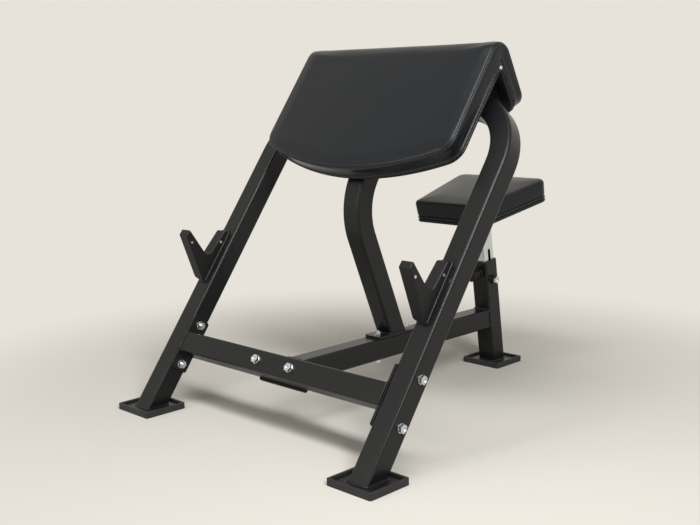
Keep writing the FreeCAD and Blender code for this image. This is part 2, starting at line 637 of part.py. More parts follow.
def cut_through(body, sketch, both=True, reverse=False):
    """Remove a sketch's area right through the body; a cut that removes nothing stops the script."""
    before = body.Shape.Volume
    feature = body.newObject("PartDesign::Pocket", f"{body.Name}_cut")
    feature.Profile = sketch
    feature.Type = "ThroughAll"
    feature.SideType = "Symmetric" if both else "One side"
    feature.Reversed = reverse
    doc.recompute()
    if body.Shape.Volume > before - 1e-3:
        raise ValueError(f"{body.Label}: a cut removes nothing")
    return feature


def cut_depth(body, sketch, depth, reverse=False, symmetric=False):
    """Remove a sketch's area to a named depth."""
    before = body.Shape.Volume
    feature = body.newObject("PartDesign::Pocket", f"{body.Name}_recess")
    feature.Profile = sketch
    feature.SideType = "Symmetric" if symmetric else "One side"
    feature.Reversed = reverse
    feature.setExpression("Length", cell(depth))
    doc.recompute()
    if body.Shape.Volume > before - 1e-3:
        raise ValueError(f"{body.Label}: a recess removes nothing")
    return feature


def fillet(body, base, names, ending, radius):
    feature = body.newObject("PartDesign::Fillet", f"{body.Name}_{ending}")
    feature.Base = (base, names)
    feature.setExpression("Radius", cell(radius))
    doc.recompute()
    return feature


def round_edges(body, base, direction, radius, wanted=None):
    """Fillet the straight edges of a feature that run along a direction."""
    names = []
    for index, edge in enumerate(base.Shape.Edges, start=1):
        if not isinstance(edge.Curve, Part.Line):
            continue
        along = edge.Vertexes[-1].Point.sub(edge.Vertexes[0].Point)
        if along.Length < 1e-6 or along.normalize().cross(direction).Length > 1e-4:
            continue
        if wanted is None or wanted(edge.CenterOfMass):
            names.append(f"Edge{index}")
    return fillet(body, base, names, "round", radius)


def both_sides(across, up="path_start"):
    """Two points, one on each side of the middle."""
    return [(f"-{across}", up), (across, up)]


def holes(body, role, spots, radius, both=True, reverse=False, shift=None):
    sketch = sketch_on(body, role, shift)
    for across, up in spots:
        circle(sketch, across, up, radius)
    return cut_through(body, sketch, both, reverse)


def at_spots(spots):
    """Tells whether an edge along X stands at one of the given points of the side view."""
    def chosen(middle):
        return any(math.hypot(middle.y - along, middle.z - out) < size["edge_roll"] for along, out in spots)
    return chosen


def round_rims(body, base, radius):
    """Fillet the outer rims of a body's two side faces, all but the straight run at its foot."""
    names = []
    half = base.Shape.BoundBox.XMax
    foot = base.Shape.BoundBox.ZMin
    for index, edge in enumerate(base.Shape.Edges, start=1):
        box = edge.BoundBox
        on_side = box.XLength < 1e-6 and abs(abs(box.XMax) - half) < 1e-6
        if on_side and box.ZMax > foot + 1e-6:
            names.append(f"Edge{index}")
    return fillet(body, base, names, "rims", radius)


def round_top(body, base, radius):
    """Fillet the upper rim of a flat plate."""
    top = base.Shape.BoundBox.ZMax
    names = [f"Edge{index}" for index, edge in enumerate(base.Shape.Edges, start=1)
             if edge.BoundBox.ZMin > top - 1e-4]
    return fillet(body, base, names, "top", radius)


UP = Vector(0, 0, 1)
ACROSS = Vector(1, 0, 0)
BACK = Vector(0, 1, 0)


def flat_plate(label, frame, left, low, right, high, thickness, corner):
    """A plate with rounded corners that lies on the frame's own plane."""
    body = new_body(label, frame)
    sketch = sketch_on(body, "XY_Plane")
    rectangle(sketch, left, low, right, high)
    plate = pad(body, sketch, thickness)
    round_edges(body, plate, UP, corner)
    return body


def square_tube(body, role, length, shift=None, symmetric=True):
    """Square frame tube with its rounded bore."""
    sketch = sketch_on(body, role, shift)
    rounded_square(sketch, "tube_half", "tube_flat", "tube_corner")
    rounded_square(sketch, "bore_half", "bore_flat", "bore_corner")
    return pad(body, sketch, length, symmetric)


def trim(body, corners):
    """Cut a tube's end to a slanted face, given side-on."""
    sketch = sketch_on(body, "YZ_Plane")
    outline(sketch, corners)
    cut_through(body, sketch)


def swept_tube(body, profile, path):
    pipe = body.newObject("PartDesign::AdditivePipe", f"{body.Name}_pipe")
    pipe.Profile = profile
    doc.recompute()
    pipe.Spine = (path, [f"Edge{index}" for index in range(1, len(path.Shape.Edges) + 1)])
    doc.recompute()
    return pipe


def group(label, master, frames):
    """Separate copies of one fastener, each in its own frame."""
    links = []
    for frame in frames:
        link = doc.addObject("App::Link", f"{label}_copy")
        link.LinkedObject = master
        link.Placement = frame
        links.append(link)
    compound = doc.addObject("Part::Compound", label)
    compound.Links = links
    return keep(compound, label)


def master_body(name):
    """A fastener drawn once at the origin; only its copies are written out."""
    return doc.addObject("PartDesign::Body", name)


def round_bar(body, radius, length, reverse=False, shift=None):
    sketch = sketch_on(body, "XY_Plane", shift)
    circle(sketch, "path_start", "path_start", radius)
    return pad(body, sketch, length, reverse=reverse)


def hexagon(sketch, kind):
    """A hexagon for a bolt or nut of a named kind."""
    corner, half, flat = f"{kind}_corner", f"{kind}_corner_half", f"{kind}_flat"
    outline(sketch, [
        (corner, "path_start"), (half, flat), (f"-{half}", flat),
        (f"-{corner}", "path_start"), (f"-{half}", f"-{flat}"), (half, f"-{flat}"),
    ])


def hex_head(body, kind):
    """A bolt's hexagon head with the shallow dish of a forged bolt."""
    sketch = sketch_on(body, "XY_Plane")
    hexagon(sketch, kind)
    pad(body, sketch, f"{kind}_head")
    dish = sketch_on(body, "XY_Plane", {"z": f"{kind}_head"})
    circle(dish, "path_start", "path_start", f"{kind}_dish")
    cut_depth(body, dish, "head_dish")


def make_ring(name, outer, inner, thickness):
    ring = master_body(name)
    sketch = sketch_on(ring, "XY_Plane")
    circle(sketch, "path_start", "path_start", outer)
    circle(sketch, "path_start", "path_start", inner)
    pad(ring, sketch, thickness)
    return ring


def turned(body, sketch):
    """Turn a half section about the sketch's upright axis."""
    feature = body.newObject("PartDesign::Revolution", f"{body.Name}_turned")
    feature.Profile = sketch
    feature.ReferenceAxis = (sketch, ["V_Axis"])
    feature.Angle = 360
    doc.recompute()
    return feature


# Leg frame: one tube bent to an inverted U, cut level at the foot plates
def make_leg_frame():
    body = new_body("leg_frame", leg_frame_place)
    path = sketch_on(body, "XY_Plane", {"z": "-tube_half"})
    corners = [
        ("-leg_half", "path_start"), ("-leg_half", "bend_foot"), ("-bend_in", "bar_middle"),
        ("bend_in", "bar_middle"), ("leg_half", "bend_foot"), ("leg_half", "path_start"),
    ]
    outline(path, corners, {1: ("bend_radius", -1), 3: ("bend_radius", -1)}, closed=False)
    profile = sketch_on(body, "XZ_Plane", {"x": "-leg_half", "y": "-tube_half"})
    rounded_square(profile, "tube_half", "tube_flat", "tube_corner")
    rounded_square(profile, "bore_half", "bore_flat", "bore_corner")
    swept_tube(body, profile, path)
    trim(body, [
        ("cut_far", "cut_rear"), ("cut_rear_along", "cut_rear"),
        ("cut_front_along", "cut_front"), ("cut_far", "cut_front"),
    ])
    holes(body, "YZ_Plane", [("leg_bolt_low", "-tube_half"), ("leg_bolt_high", "-tube_half")], "bolt_hole")
    holes(body, "XY_Plane", both_sides("upper_bolt_half", "bar_middle"), "small_hole")


# Feet: a steel plate on each tube's end, held in a rubber shoe with a raised rim
def make_foot(side, across, depth):
    frame = Placement(Vector(across, depth, size["shoe_floor"]), Rotation())
    flat_plate(f"{side}_foot_plate", frame, "-foot_half_width", "-foot_half_depth",
               "foot_half_width", "foot_half_depth", "foot_plate", "shoe_corner")
    shoe = new_body(f"{side}_foot_shoe", Placement(Vector(across, depth, 0), Rotation()))
    sketch = sketch_on(shoe, "XY_Plane")
    rectangle(sketch, "-shoe_half_width", "-shoe_half_depth", "shoe_half_width", "shoe_half_depth")
    block = pad(shoe, sketch, "shoe_height")
    round_edges(shoe, block, UP, "shoe_corner")
    tray = sketch_on(shoe, "XY_Plane", {"z": "shoe_height"})
    rectangle(tray, "-tray_half_width", "-tray_half_depth", "tray_half_width", "tray_half_depth")
    recess = cut_depth(shoe, tray, "tray_depth")
    rim_middle = places["shoe_half_width"] - size["shoe_rim"] / 2
    round_edges(shoe, recess, UP, "shoe_corner", lambda spot: abs(spot.x) < rim_middle)


# Cross beam with an end plate on each leg
def make_cross_beam():
    beam_frame = shifted(leg_frame_place, 0, size["beam_height"], -tube_half)
    beam = new_body("cross_beam", beam_frame)
    square_tube(beam, "YZ_Plane", "beam_length")
    holes(beam, "XY_Plane", both_sides("spine_bolt_half"), "bolt_hole")
    for side, sign in (("left", -1), ("right", 1)):
        inner = sign * places["leg_half"] - sign * tube_half
        middle = inner - sign * size["end_plate"] / 2
        plate = new_body(f"{side}_beam_plate", shifted(beam_frame, middle, 0, 0))
        sketch = sketch_on(plate, "YZ_Plane")
        rectangle(sketch, "-end_plate_reach", "-end_plate_half", "end_plate_reach", "end_plate_half")
        block = pad(plate, sketch, "end_plate", symmetric=True)
        round_edges(plate, block, ACROSS, "plate_corner")
        holes(plate, "YZ_Plane", both_sides("bolt_half_pitch"), "bolt_hole")


# Spine tube from the plate behind the cross beam to the rear post
def make_spine():
    plate_frame = shifted(leg_frame_place, 0, size["beam_height"], plate_rear)
    plate = flat_plate("spine_front_plate", plate_frame, "-spine_plate_half", "spine_plate_low",
                       "spine_plate_half", "spine_plate_high", "spine_plate", "plate_corner")
    holes(plate, "XY_Plane", both_sides("spine_bolt_half"), "bolt_hole")
    spine = new_body("spine_tube", spine_place)
    square_tube(spine, "XZ_Plane", "spine_length")
    trim(spine, [
        ("-spine_cut", "spine_cut_low"), ("spine_front_low", "spine_cut_low"),
        ("spine_front_high", "spine_cut_high"), ("-spine_cut", "spine_cut_high"),
    ])
    trim(spine, [
        ("spine_cut", "spine_cut_high"), ("spine_rear_high", "spine_cut_high"),
        ("spine_rear_low", "spine_cut_low"), ("spine_cut", "spine_cut_low"),
    ])
    spots = [("path_start", "base_bolt_front"), ("path_start", "base_bolt_rear")]
    holes(spine, "XY_Plane", spots, "bolt_hole")


# Centre post: bent tube from its base plate on the spine up to the bar under the pad
def make_centre_post():
    post = new_body("centre_post", centre_post_place)
    path = sketch_on(post, "YZ_Plane")
    corners = [
        ("path_start", "post_path_low"), ("path_start", "post_bend_low"),
        ("post_bend_y", "post_bend_z"), ("post_end_y", "post_end_z"),
    ]
    outline(path, corners, {1: ("bend_radius", -1)}, closed=False)
    profile = sketch_on(post, "XY_Plane", {"z": "post_path_low"})
    rounded_square(profile, "tube_half", "tube_flat", "tube_corner")
    rounded_square(profile, "bore_half", "bore_flat", "bore_corner")
    swept_tube(post, profile, path)
    trim(post, [
        ("-post_cut", "cut_far"), ("post_cut", "cut_far"),
        ("post_cut", "-post_cut_front"), ("-post_cut", "post_cut_front"),
    ])
    base_frame = Placement(Vector(0, post_foot, spine_top), Rotation())
    base = flat_plate("post_base_plate", base_frame, "-tube_half", "-base_half_length",
                      "tube_half", "base_half_length", "base_plate", "plate_corner")
    spots = [("path_start", "-base_half_pitch"), ("path_start", "base_half_pitch")]
    holes(base, "XY_Plane", spots, "bolt_hole")


# Arm pad supports: a flat tube along the top bar and a plate on the centre post
def make_pad_supports():
    rail_frame = shifted(leg_frame_place, 0, places["bar_middle"], places["rail_half_height"])
    rail = new_body("upper_pad_rail", rail_frame)
    sketch = sketch_on(rail, "YZ_Plane")
    rectangle(sketch, "-rail_half_width", "-rail_half_height", "rail_half_width", "rail_half_height")
    rectangle(sketch, "-rail_bore_width", "-rail_bore_height", "rail_bore_width", "rail_bore_height")
    pad(rail, sketch, "pad_rail_length", symmetric=True)
    holes(rail, "XY_Plane", both_sides("upper_bolt_half"), "small_hole")
    plug = master_body("rail_plug")
    core = sketch_on(plug, "XY_Plane")
    rectangle(core, "-rail_bore_width", "-rail_bore_height", "rail_bore_width", "rail_bore_height")
    pad(plug, core, "plug_reach", reverse=True)
    lip = sketch_on(plug, "XY_Plane")
    rectangle(lip, "-rail_half_width", "-rail_half_height", "rail_half_width", "rail_half_height")
    pad(plug, lip, "plug_lip")
    ends = []
    for sign in (-1, 1):
        outward = Rotation(BACK, Vector(), Vector(sign, 0, 0), "ZXY")
        ends.append(shifted(rail_frame, sign * size["pad_rail_length"] / 2, 0, 0, outward))
    group("rail_end_plugs", plug, ends)
    plate_along = ridge_along - size["lower_plate_place"]
    plate_frame = shifted(leg_frame_place, 0, plate_along, size["pad_rail_height"] - size["lower_plate"])
    plate = flat_plate("lower_pad_plate", plate_frame, "-lower_half_width", "-lower_half_depth",
                       "lower_half_width", "lower_half_depth", "lower_plate", "plate_corner")
    holes(plate, "XY_Plane", both_sides("lower_bolt_half"), "small_hole")


# Boards under the arm cushions, mitred together at the ridge
def mitre(body):
    """Cut a board's upper end along the ridge's middle plane; returns the board without holes."""
    sketch = sketch_on(body, "YZ_Plane")
    outline(sketch, [
        ("mitre_far", "-board_thickness"), ("mitre_low", "-board_thickness"),
        ("mitre_high", "board_double"), ("mitre_far", "board_double"),
    ])
    return cut_through(body, sketch).Shape.copy()


def screw_holes(body):
    """Blind holes for the ridge angle's screws."""
    sketch = sketch_on(body, "XY_Plane")
    for across, down in both_sides("angle_screw_half", "angle_screw_down"):
        circle(sketch, across, down, "screw_radius")
    cut_depth(body, sketch, "screw_reach", reverse=True)


def make_boards():
    """Both plywood boards; returns their blanks, which the cushions are cut by."""
    front = new_body("front_board", front_pad_place)
    sketch = sketch_on(front, "XY_Plane")
    corners = [
        ("board_wide", "board_top"), ("board_wide", "board_side_end"), ("board_edge_x", "board_edge_down"),
        ("-board_edge_x", "board_edge_down"), ("-board_wide", "board_side_end"), ("-board_wide", "board_top"),
    ]
    arcs = {1: ("board_corner", 1), 2: ("board_edge", 1), 3: ("board_corner", 1)}
    outline(sketch, corners, arcs)
    pad(front, sketch, "board_thickness")
    front_blank = mitre(front)
    spots = both_sides("upper_bolt_half", "upper_bolt_down")
    spots = spots + both_sides("lower_bolt_half", "lower_bolt_down")
    holes(front, "XY_Plane", spots, "insert_radius")
    screw_holes(front)
    rear = new_body("rear_board", rear_pad_place)
    sketch = sketch_on(rear, "XY_Plane")
    rectangle(sketch, "-board_wide", "board_top", "board_wide", "rear_board_low")
    block = pad(rear, sketch, "board_thickness")
    round_edges(rear, block, UP, "rear_board_corner", lambda spot: spot.y > 0)
    rear_blank = mitre(rear)
    screw_holes(rear)
    return front_blank, rear_blank


# Ridge angle: a bent strip under the ridge with a flange screwed to each board
def make_ridge_angle():
    thick, flange, length = size["angle_thickness"], size["angle_leg"], size["angle_length"]
    middle = (math.cos(half_ridge), -math.sin(half_ridge))

    def across_ridge(down, out):
        """The matching point of the other flange, mirrored in the ridge's middle plane."""
        share = 2 * (down * middle[0] + out * middle[1])
        return (share * middle[0] - down, share * middle[1] - out)

    section = [(0, 0), (flange, 0), (flange, -thick), (thick / math.tan(half_ridge), -thick),
               across_ridge(flange, -thick), across_ridge(flange, 0)]
    corners = [Vector(-length / 2, down, out) for down, out in section]
    strip = Part.Face(Part.makePolygon(corners + corners[:1])).extrude(Vector(length, 0, 0))
    screws = []
    for board_frame in (front_pad_place, rear_pad_place):
        for across in (-places["angle_screw_half"], places["angle_screw_half"]):
            screws.append(shifted(board_frame, across, places["angle_screw_down"], -thick))
    for frame in screws:
        drill = Part.makeCylinder(size["screw_radius"] + size["bolt_hole_gap"], 2 * thick, -UP * thick / 2)
        drill.Placement = front_pad_place.inverse().multiply(frame)
        strip = strip.cut(drill)
    angle = doc.addObject("Part::Feature", "apex_angle")
    angle.Shape = strip
    angle.Placement = front_pad_place
    keep(angle, "apex_angle")
    screw = master_body("ridge_screw")
    round_bar(screw, "screw_head_radius", "screw_head", reverse=True)
    round_bar(screw, "screw_radius", "screw_length")
    group("apex_screws", screw, screws)


# Tacks: a bright domed head at each end of the ridge, its pin in the cushions
def make_tacks():
    tack = master_body("cover_tack")
    sketch = sketch_on(tack, "XZ_Plane")
    corners = [
        ("path_start", "-tack_pin"), ("tack_pin_radius", "-tack_pin"), ("tack_pin_radius", "path_start"),
        ("tack_radius", "path_start"), ("path_start", "tack_height"),
    ]
    outline(sketch, corners, {3: ("tack_dome", 1)})
    turned(tack, sketch)
    frames = []
    for sign in (-1, 1):
        outward = Rotation(BACK, Vector(), Vector(sign, 0, 0), "ZXY")
        frames.append(shifted(
            front_pad_place, sign * (size["pad_width"] - size["edge_roll"] / 2) / 2,
            -size["tack_rise"] * math.cos(half_ridge), size["tack_rise"] * math.sin(half_ridge), outward))
    group("cover_tacks", tack, frames)
    solids = []
    for frame in frames:
        solid = tack.Shape.copy()
        solid.Placement = frame
        solids.append(solid)
    return solids


# Cushions: level plans, one above the other, give the rolled edge, drawn-in sides and the crown
CROWN_STEPS = [(0.07, 0.38), (0.2, 0.66), (0.5, 0.89), (1.0, 1.0)]
RIDGE_ALLOWANCE = 0.1


def cushion_levels(side, crown, draw, spread):
    """Heights and insets of a cushion's plans from its underside up."""
    roll = size["edge_roll"]
    levels = [(0, roll), (roll, 0), (side / 2, draw), (side - roll, 0), (side, roll / 3)]
    return levels + [(side + crown * rise, spread * inward) for inward, rise in CROWN_STEPS]


def arc_edge(centre, radius, first, last):
    spots = []
    for angle in (first, (first + last) / 2, last):
        spots.append(centre + Vector(radius * math.cos(angle), radius * math.sin(angle), 0))
    return Part.Arc(*spots).toShape()


def front_wire(inset, height, top):
    """Plan of the front cushion, from above the ridge to its curved lower edge."""
    plan = front_plan(inset)
    edge_angle = math.atan2(plan["edge_down"] - plan["centre"], plan["edge_x"])
    side_end, wide = plan["side_end"], plan["wide"]
    right_top, left_top = Vector(wide, top, height), Vector(-wide, top, height)
    right_corner, left_corner = (Vector(sign * plan["corner_x"], side_end, height) for sign in (1, -1))
    return Part.Wire([
        Part.makeLine(right_top, Vector(wide, side_end, height)),
        arc_edge(right_corner, plan["corner"], 0, edge_angle),
        arc_edge(Vector(0, plan["centre"], height), plan["edge"], edge_angle, math.pi - edge_angle),
        arc_edge(left_corner, plan["corner"], math.pi - edge_angle, math.pi),
        Part.makeLine(Vector(-wide, side_end, height), left_top),
        Part.makeLine(left_top, right_top),
    ])


def rounded_wire(points, radii, height):
    """A polygon taken anticlockwise, each corner rounded to its own radius, none where it is zero."""
    edges, first, last = [], None, None
    for index, radius in enumerate(radii):
        before, here, after = (Vector(*points[(index + step) % len(points)], height) for step in (-1, 0, 1))
        into, away = (here - before).normalize(), (after - here).normalize()
        reach = radius * math.tan(into.getAngle(away) / 2)
        start, end = here - into * reach, here + away * reach
        if last:
            edges.append(Part.makeLine(last, start))
        if radius > 0:
            centre = start + Vector(-into.y, into.x, 0) * radius
            edges.append(Part.Arc(start, centre + (here - centre).normalize() * radius, end).toShape())
        first, last = first or start, end
    edges.append(Part.makeLine(last, first))
    return Part.Wire(edges)


def rear_wire(inset, height, top):
    wide = size["pad_width"] / 2 - inset
    low = size["rear_length"] - inset
    corner = max(size["rear_corner"] - inset, size["rear_corner"] / 4)
    points = [(-wide, top), (wide, top), (wide, low), (-wide, low)]
    return rounded_wire(points, [0, 0, corner, corner], height)


def seat_wire(inset, height):
    radii = []
    for end in ("front", "front", "rear", "rear"):
        corner = size[f"seat_{end}_corner"]
        radii.append(max(corner - inset, corner / 4))
    return rounded_wire(inset_outline(SEAT_PLAN, inset), radii, height)


def ridge_block(length):
    """Everything on one side of the ridge's middle plane and under its rounding."""
    below = size["edge_roll"]
    top = pad_total + RIDGE_ALLOWANCE
    slope = math.tan(half_ridge)
    radius = size["ridge_radius"]
    centre_out = top - radius
    centre_down = -centre_out / slope
    half = size["pad_width"]

    def spot(down, out):
        return Vector(-half, down, out)

    def on_arc(angle):
        return spot(centre_down + radius * math.cos(angle), centre_out + radius * math.sin(angle))

    crest = math.pi - half_ridge
    foot, far_low, far_top = spot(below / slope, -below), spot(2 * length, -below), spot(2 * length, top)
    face = Part.Face(Part.Wire([
        Part.makeLine(foot, on_arc(crest)),
        Part.Arc(on_arc(crest), on_arc((crest + math.pi / 2) / 2), on_arc(math.pi / 2)).toShape(),
        Part.makeLine(on_arc(math.pi / 2), far_top),
        Part.makeLine(far_top, far_low),
        Part.makeLine(far_low, foot),
    ]))
    return face.extrude(Vector(2 * half, 0, 0))


def make_cushion(label, frame, shape):
    cushion = doc.addObject("Part::Feature", label)
    cushion.Shape = shape.Solids[0] if len(shape.Solids) == 1 else shape
    cushion.Placement = frame
    keep(cushion, label)


def make_arm_cushions(blanks, tacks):
    levels = cushion_levels(size["pad_side"], size["pad_crown"], size["pad_draw"], size["pad_spread"])
    top = -2 * pad_total / math.tan(half_ridge)
    plans = (("front", front_pad_place, front_wire, size["front_length"]),
             ("rear", rear_pad_place, rear_wire, size["rear_length"]))
    for (side, frame, plan_wire, length), blank in zip(plans, blanks):
        body = Part.makeLoft([plan_wire(inset, height, top) for height, inset in levels], True, True)
        body = body.common(ridge_block(length)).cut(blank)
        for tack in tacks:
            pin = tack.copy()
            pin.Placement = frame.inverse().multiply(tack.Placement)
            body = body.cut(pin)
        make_cushion(f"{side}_cushion", frame, body)


# Rear post with its guide bush, the threaded bosses, the limit bolt and the clamp
def make_rear_post():
    post = new_body("rear_post", rear_post_place)
    square_tube(post, "XY_Plane", "rear_post_tube", {"z": "-tube_side"}, symmetric=False)
    trim(post, [
        ("-post_cut", "cut_far"), ("post_cut", "cut_far"),
        ("post_cut", "rear_cut_back"), ("-post_cut", "rear_cut_front"),
    ])
    holes(post, "YZ_Plane", [("path_start", "limit_height")], "bolt_hole", both=False, reverse=True)
    holes(post, "XZ_Plane", [("path_start", "clamp_height")], "bolt_hole", both=False, reverse=True)
    bush = new_body("post_bush", rear_post_place)
    sketch = sketch_on(bush, "XY_Plane", {"z": "bush_low"})
    rounded_square(sketch, "bush_half", "bush_flat", "bush_corner")
    rounded_square(sketch, "bush_bore_half", "bush_bore_flat", "bush_bore_corner")
    pad(bush, sketch, "bush_length")


FORWARD_FACE = Rotation(ACROSS, 90)
RIGHT_FACE = Rotation(BACK, 90)
LEFT_FACE = Rotation(BACK, -90)


def make_boss(label, frame):
    boss = new_body(label, frame)
    sketch = sketch_on(boss, "XY_Plane")
    circle(sketch, "path_start", "path_start", "boss_radius")
    circle(sketch, "path_start", "path_start", "nut_bore")
    pad(boss, sketch, "boss_height")


def make_limit_stop():
    make_boss("limit_boss", shifted(rear_post_place, tube_half, 0, limit_height, RIGHT_FACE))
    seat_face = tube_half + size["boss_height"]
    bolt = new_body("limit_bolt", shifted(rear_post_place, seat_face, 0, limit_height, RIGHT_FACE))
    hex_head(bolt, "bolt")
    round_bar(bolt, "bolt_radius", "limit_shank", reverse=True)
    round_bar(bolt, "dog_radius", "limit_length", reverse=True)


KNOB_FLUTES = 6


def make_clamp():
    make_boss("clamp_boss", shifted(rear_post_place, 0, -tube_half, clamp_height, FORWARD_FACE))
    face = -tube_half - size["boss_height"] - size["knob_gap"]
    frame = shifted(rear_post_place, 0, face, clamp_height, FORWARD_FACE)
    knob = new_body("clamp_knob", frame)
    round_bar(knob, "knob_radius", "knob_length")
    bore = sketch_on(knob, "XY_Plane")
    circle(bore, "path_start", "path_start", "bolt_radius")
    cut_depth(knob, bore, "knob_middle", reverse=True)
    flute = sketch_on(knob, "XY_Plane")
    circle(flute, "flute_out", "path_start", "flute_radius")
    groove = cut_through(knob, flute)
    pattern = knob.newObject("PartDesign::PolarPattern", "knob_flutes")
    pattern.Originals = [groove]
    pattern.Axis = (flute, ["N_Axis"])
    pattern.Angle = 360
    pattern.Occurrences = KNOB_FLUTES
    knob.Tip = pattern
    stud = new_body("clamp_stud", frame)
    round_bar(stud, "bolt_radius", "stud_length", reverse=True, shift={"z": "knob_middle"})


# Seat post: chrome tube with a slot for the limit bolt and a plastic plug at its lower end
def make_seat_post():
    post = new_body("seat_post", rear_post_place)
    sketch = sketch_on(post, "XY_Plane", {"z": "slide_low_end"})
    rounded_square(sketch, "slide_half", "slide_flat", "slide_corner")
    rounded_square(sketch, "slide_bore_half", "slide_flat", "slide_bore_corner")
    pad(post, sketch, "slide_length")
    trim(post, [
        ("-slide_cut_side", "slide_top_front"), ("slide_cut_side", "slide_top_rear"),
        ("slide_cut_side", "slide_cut_top"), ("-slide_cut_side", "slide_cut_top"),
    ])
    slot = sketch_on(post, "YZ_Plane")
    corners = [
        ("-slot_half", "slot_low"), ("path_start", "slot_low_end"), ("slot_half", "slot_low"),
        ("slot_half", "slot_high"), ("path_start", "slot_high_end"), ("-slot_half", "slot_high"),
    ]
    outline(slot, corners, {side: ("slot_half", 1) for side in (0, 1, 3, 4)})
    cut_through(post, slot, both=False, reverse=True)
    plug = new_body("seat_post_plug", rear_post_place)
    collar = sketch_on(plug, "XY_Plane", {"z": "plug_low"})
    rounded_square(collar, "plug_half", "plug_flat", "plug_corner")
    pad(plug, collar, "plug_collar")
    core = sketch_on(plug, "XY_Plane", {"z": "slide_low_end"})
    rounded_square(core, "slide_bore_half", "slide_flat", "slide_bore_corner")
    pad(plug, core, "plug_reach")


# Seat: plate on the post, plywood board and a tapered cushion
def make_seat():
    plate = flat_plate("seat_plate", shifted(seat_place, 0, 0, -size["seat_plate"]), "-seat_plate_half",
                       "-seat_plate_half", "seat_plate_half", "seat_plate_half", "seat_plate", "plate_corner")
    spots = [(across, back) for across in ("-seat_bolt_half", "seat_bolt_half")
             for back in ("-seat_bolt_half", "seat_bolt_half")]
    holes(plate, "XY_Plane", spots, "small_hole")
    cushion_frame = shifted(seat_place, 0, -size["seat_forward"], 0)
    board = new_body("seat_board", cushion_frame)
    sketch = sketch_on(board, "XY_Plane")
    outline(sketch, [(f"seat_board_{spot}_x", f"seat_board_{spot}_y") for spot in SEAT_SPOTS])
    block = pad(board, sketch, "board_thickness")
    block = round_edges(board, block, UP, "seat_board_front_corner", lambda spot: spot.y < 0)
    blank = round_edges(board, block, UP, "seat_board_rear_corner", lambda spot: spot.y > 0).Shape.copy()
    holes(board, "XY_Plane", spots, "insert_radius", shift={"y": "seat_forward"})
    levels = cushion_levels(size["seat_side"], size["seat_crown"], size["seat_draw"], size["seat_spread"])
    body = Part.makeLoft([seat_wire(inset, height) for height, inset in levels], True, True)
    make_cushion("seat_cushion", cushion_frame, body.cut(blank))
    corners = [(across, back) for across in (-1, 1) for back in (-1, 1)]
    half = places["seat_bolt_half"]
    return [shifted(seat_place, across * half, back * half, 0) for across, back in corners]


# Bar catches: a steel hook on each leg inside a moulded cover, held by two screws
def make_catches():
    screw = master_body("catch_screw")
    round_bar(screw, "catch_screw_head", "catch_screw_rise")
    round_bar(screw, "catch_screw_radius", "catch_screw_length", reverse=True)
    screws = []
    screw_cells = [(f"{spot}_along", f"{spot}_out") for spot in CATCH_SCREWS]
    for side, sign in (("left", -1), ("right", 1)):
        middle = sign * places["leg_half"] - size["catch_shift"]
        frame = shifted(leg_frame_place, middle, size["catch_place"], 0)
        hook = new_body(f"{side}_catch_hook", frame)
        flange = sketch_on(hook, "XY_Plane")
        outline(flange, [
            ("-flange_half", "catch_slant"), ("flange_half", "path_start"),
            ("flange_half", "catch_flange_length"), ("-flange_half", "catch_flange_length"),
        ])
        plate = pad(hook, flange, "catch_flange")
        plate = round_edges(hook, plate, UP, "plate_corner")
        round_top(hook, plate, "catch_flange_edge")
        web = sketch_on(hook, "YZ_Plane")
        web_cells = [(f"web_along_{index}_", f"web_out_{index}_") for index in range(len(web_corners))]
        outline(web, web_cells)
        pad(hook, web, "catch_web", symmetric=True)
        holes(hook, "YZ_Plane", screw_cells, "screw_hole_catch")
        cover = new_body(f"{side}_catch_cover", frame)
        sketch = sketch_on(cover, "YZ_Plane")
        outline(sketch, [(f"{spot}_along", f"{spot}_out") for spot in CATCH])
        block = pad(cover, sketch, "catch_width", symmetric=True)
        block = round_edges(cover, block, ACROSS, "notch_round", at_spots([CATCH["notch"]]))
        outer = [CATCH[spot] for spot in ("toe", "horn_outer", "horn_top", "arm_inner")]
        block = round_edges(cover, block, ACROSS, "catch_corner", at_spots(outer))
        round_rims(cover, block, "catch_edge")
        slant = sketch_on(cover, "XY_Plane")
        outline(slant, [("-flange_half", "path_start"), ("flange_half", "path_start"),
                        ("-flange_half", "catch_slant")])
        cut_depth(cover, slant, "toe_out", reverse=True)
        pocket = sketch_on(cover, "YZ_Plane")
        outline(pocket, web_cells)
        cut_depth(cover, pocket, "catch_web", symmetric=True)
        holes(cover, "YZ_Plane", screw_cells, "screw_hole_catch", both=False, reverse=True)
        for along, out in CATCH_SCREWS.values():
            screws.append(shifted(frame, size["catch_width"] / 2, along, out, RIGHT_FACE))
    group("catch_screws", screw, screws)


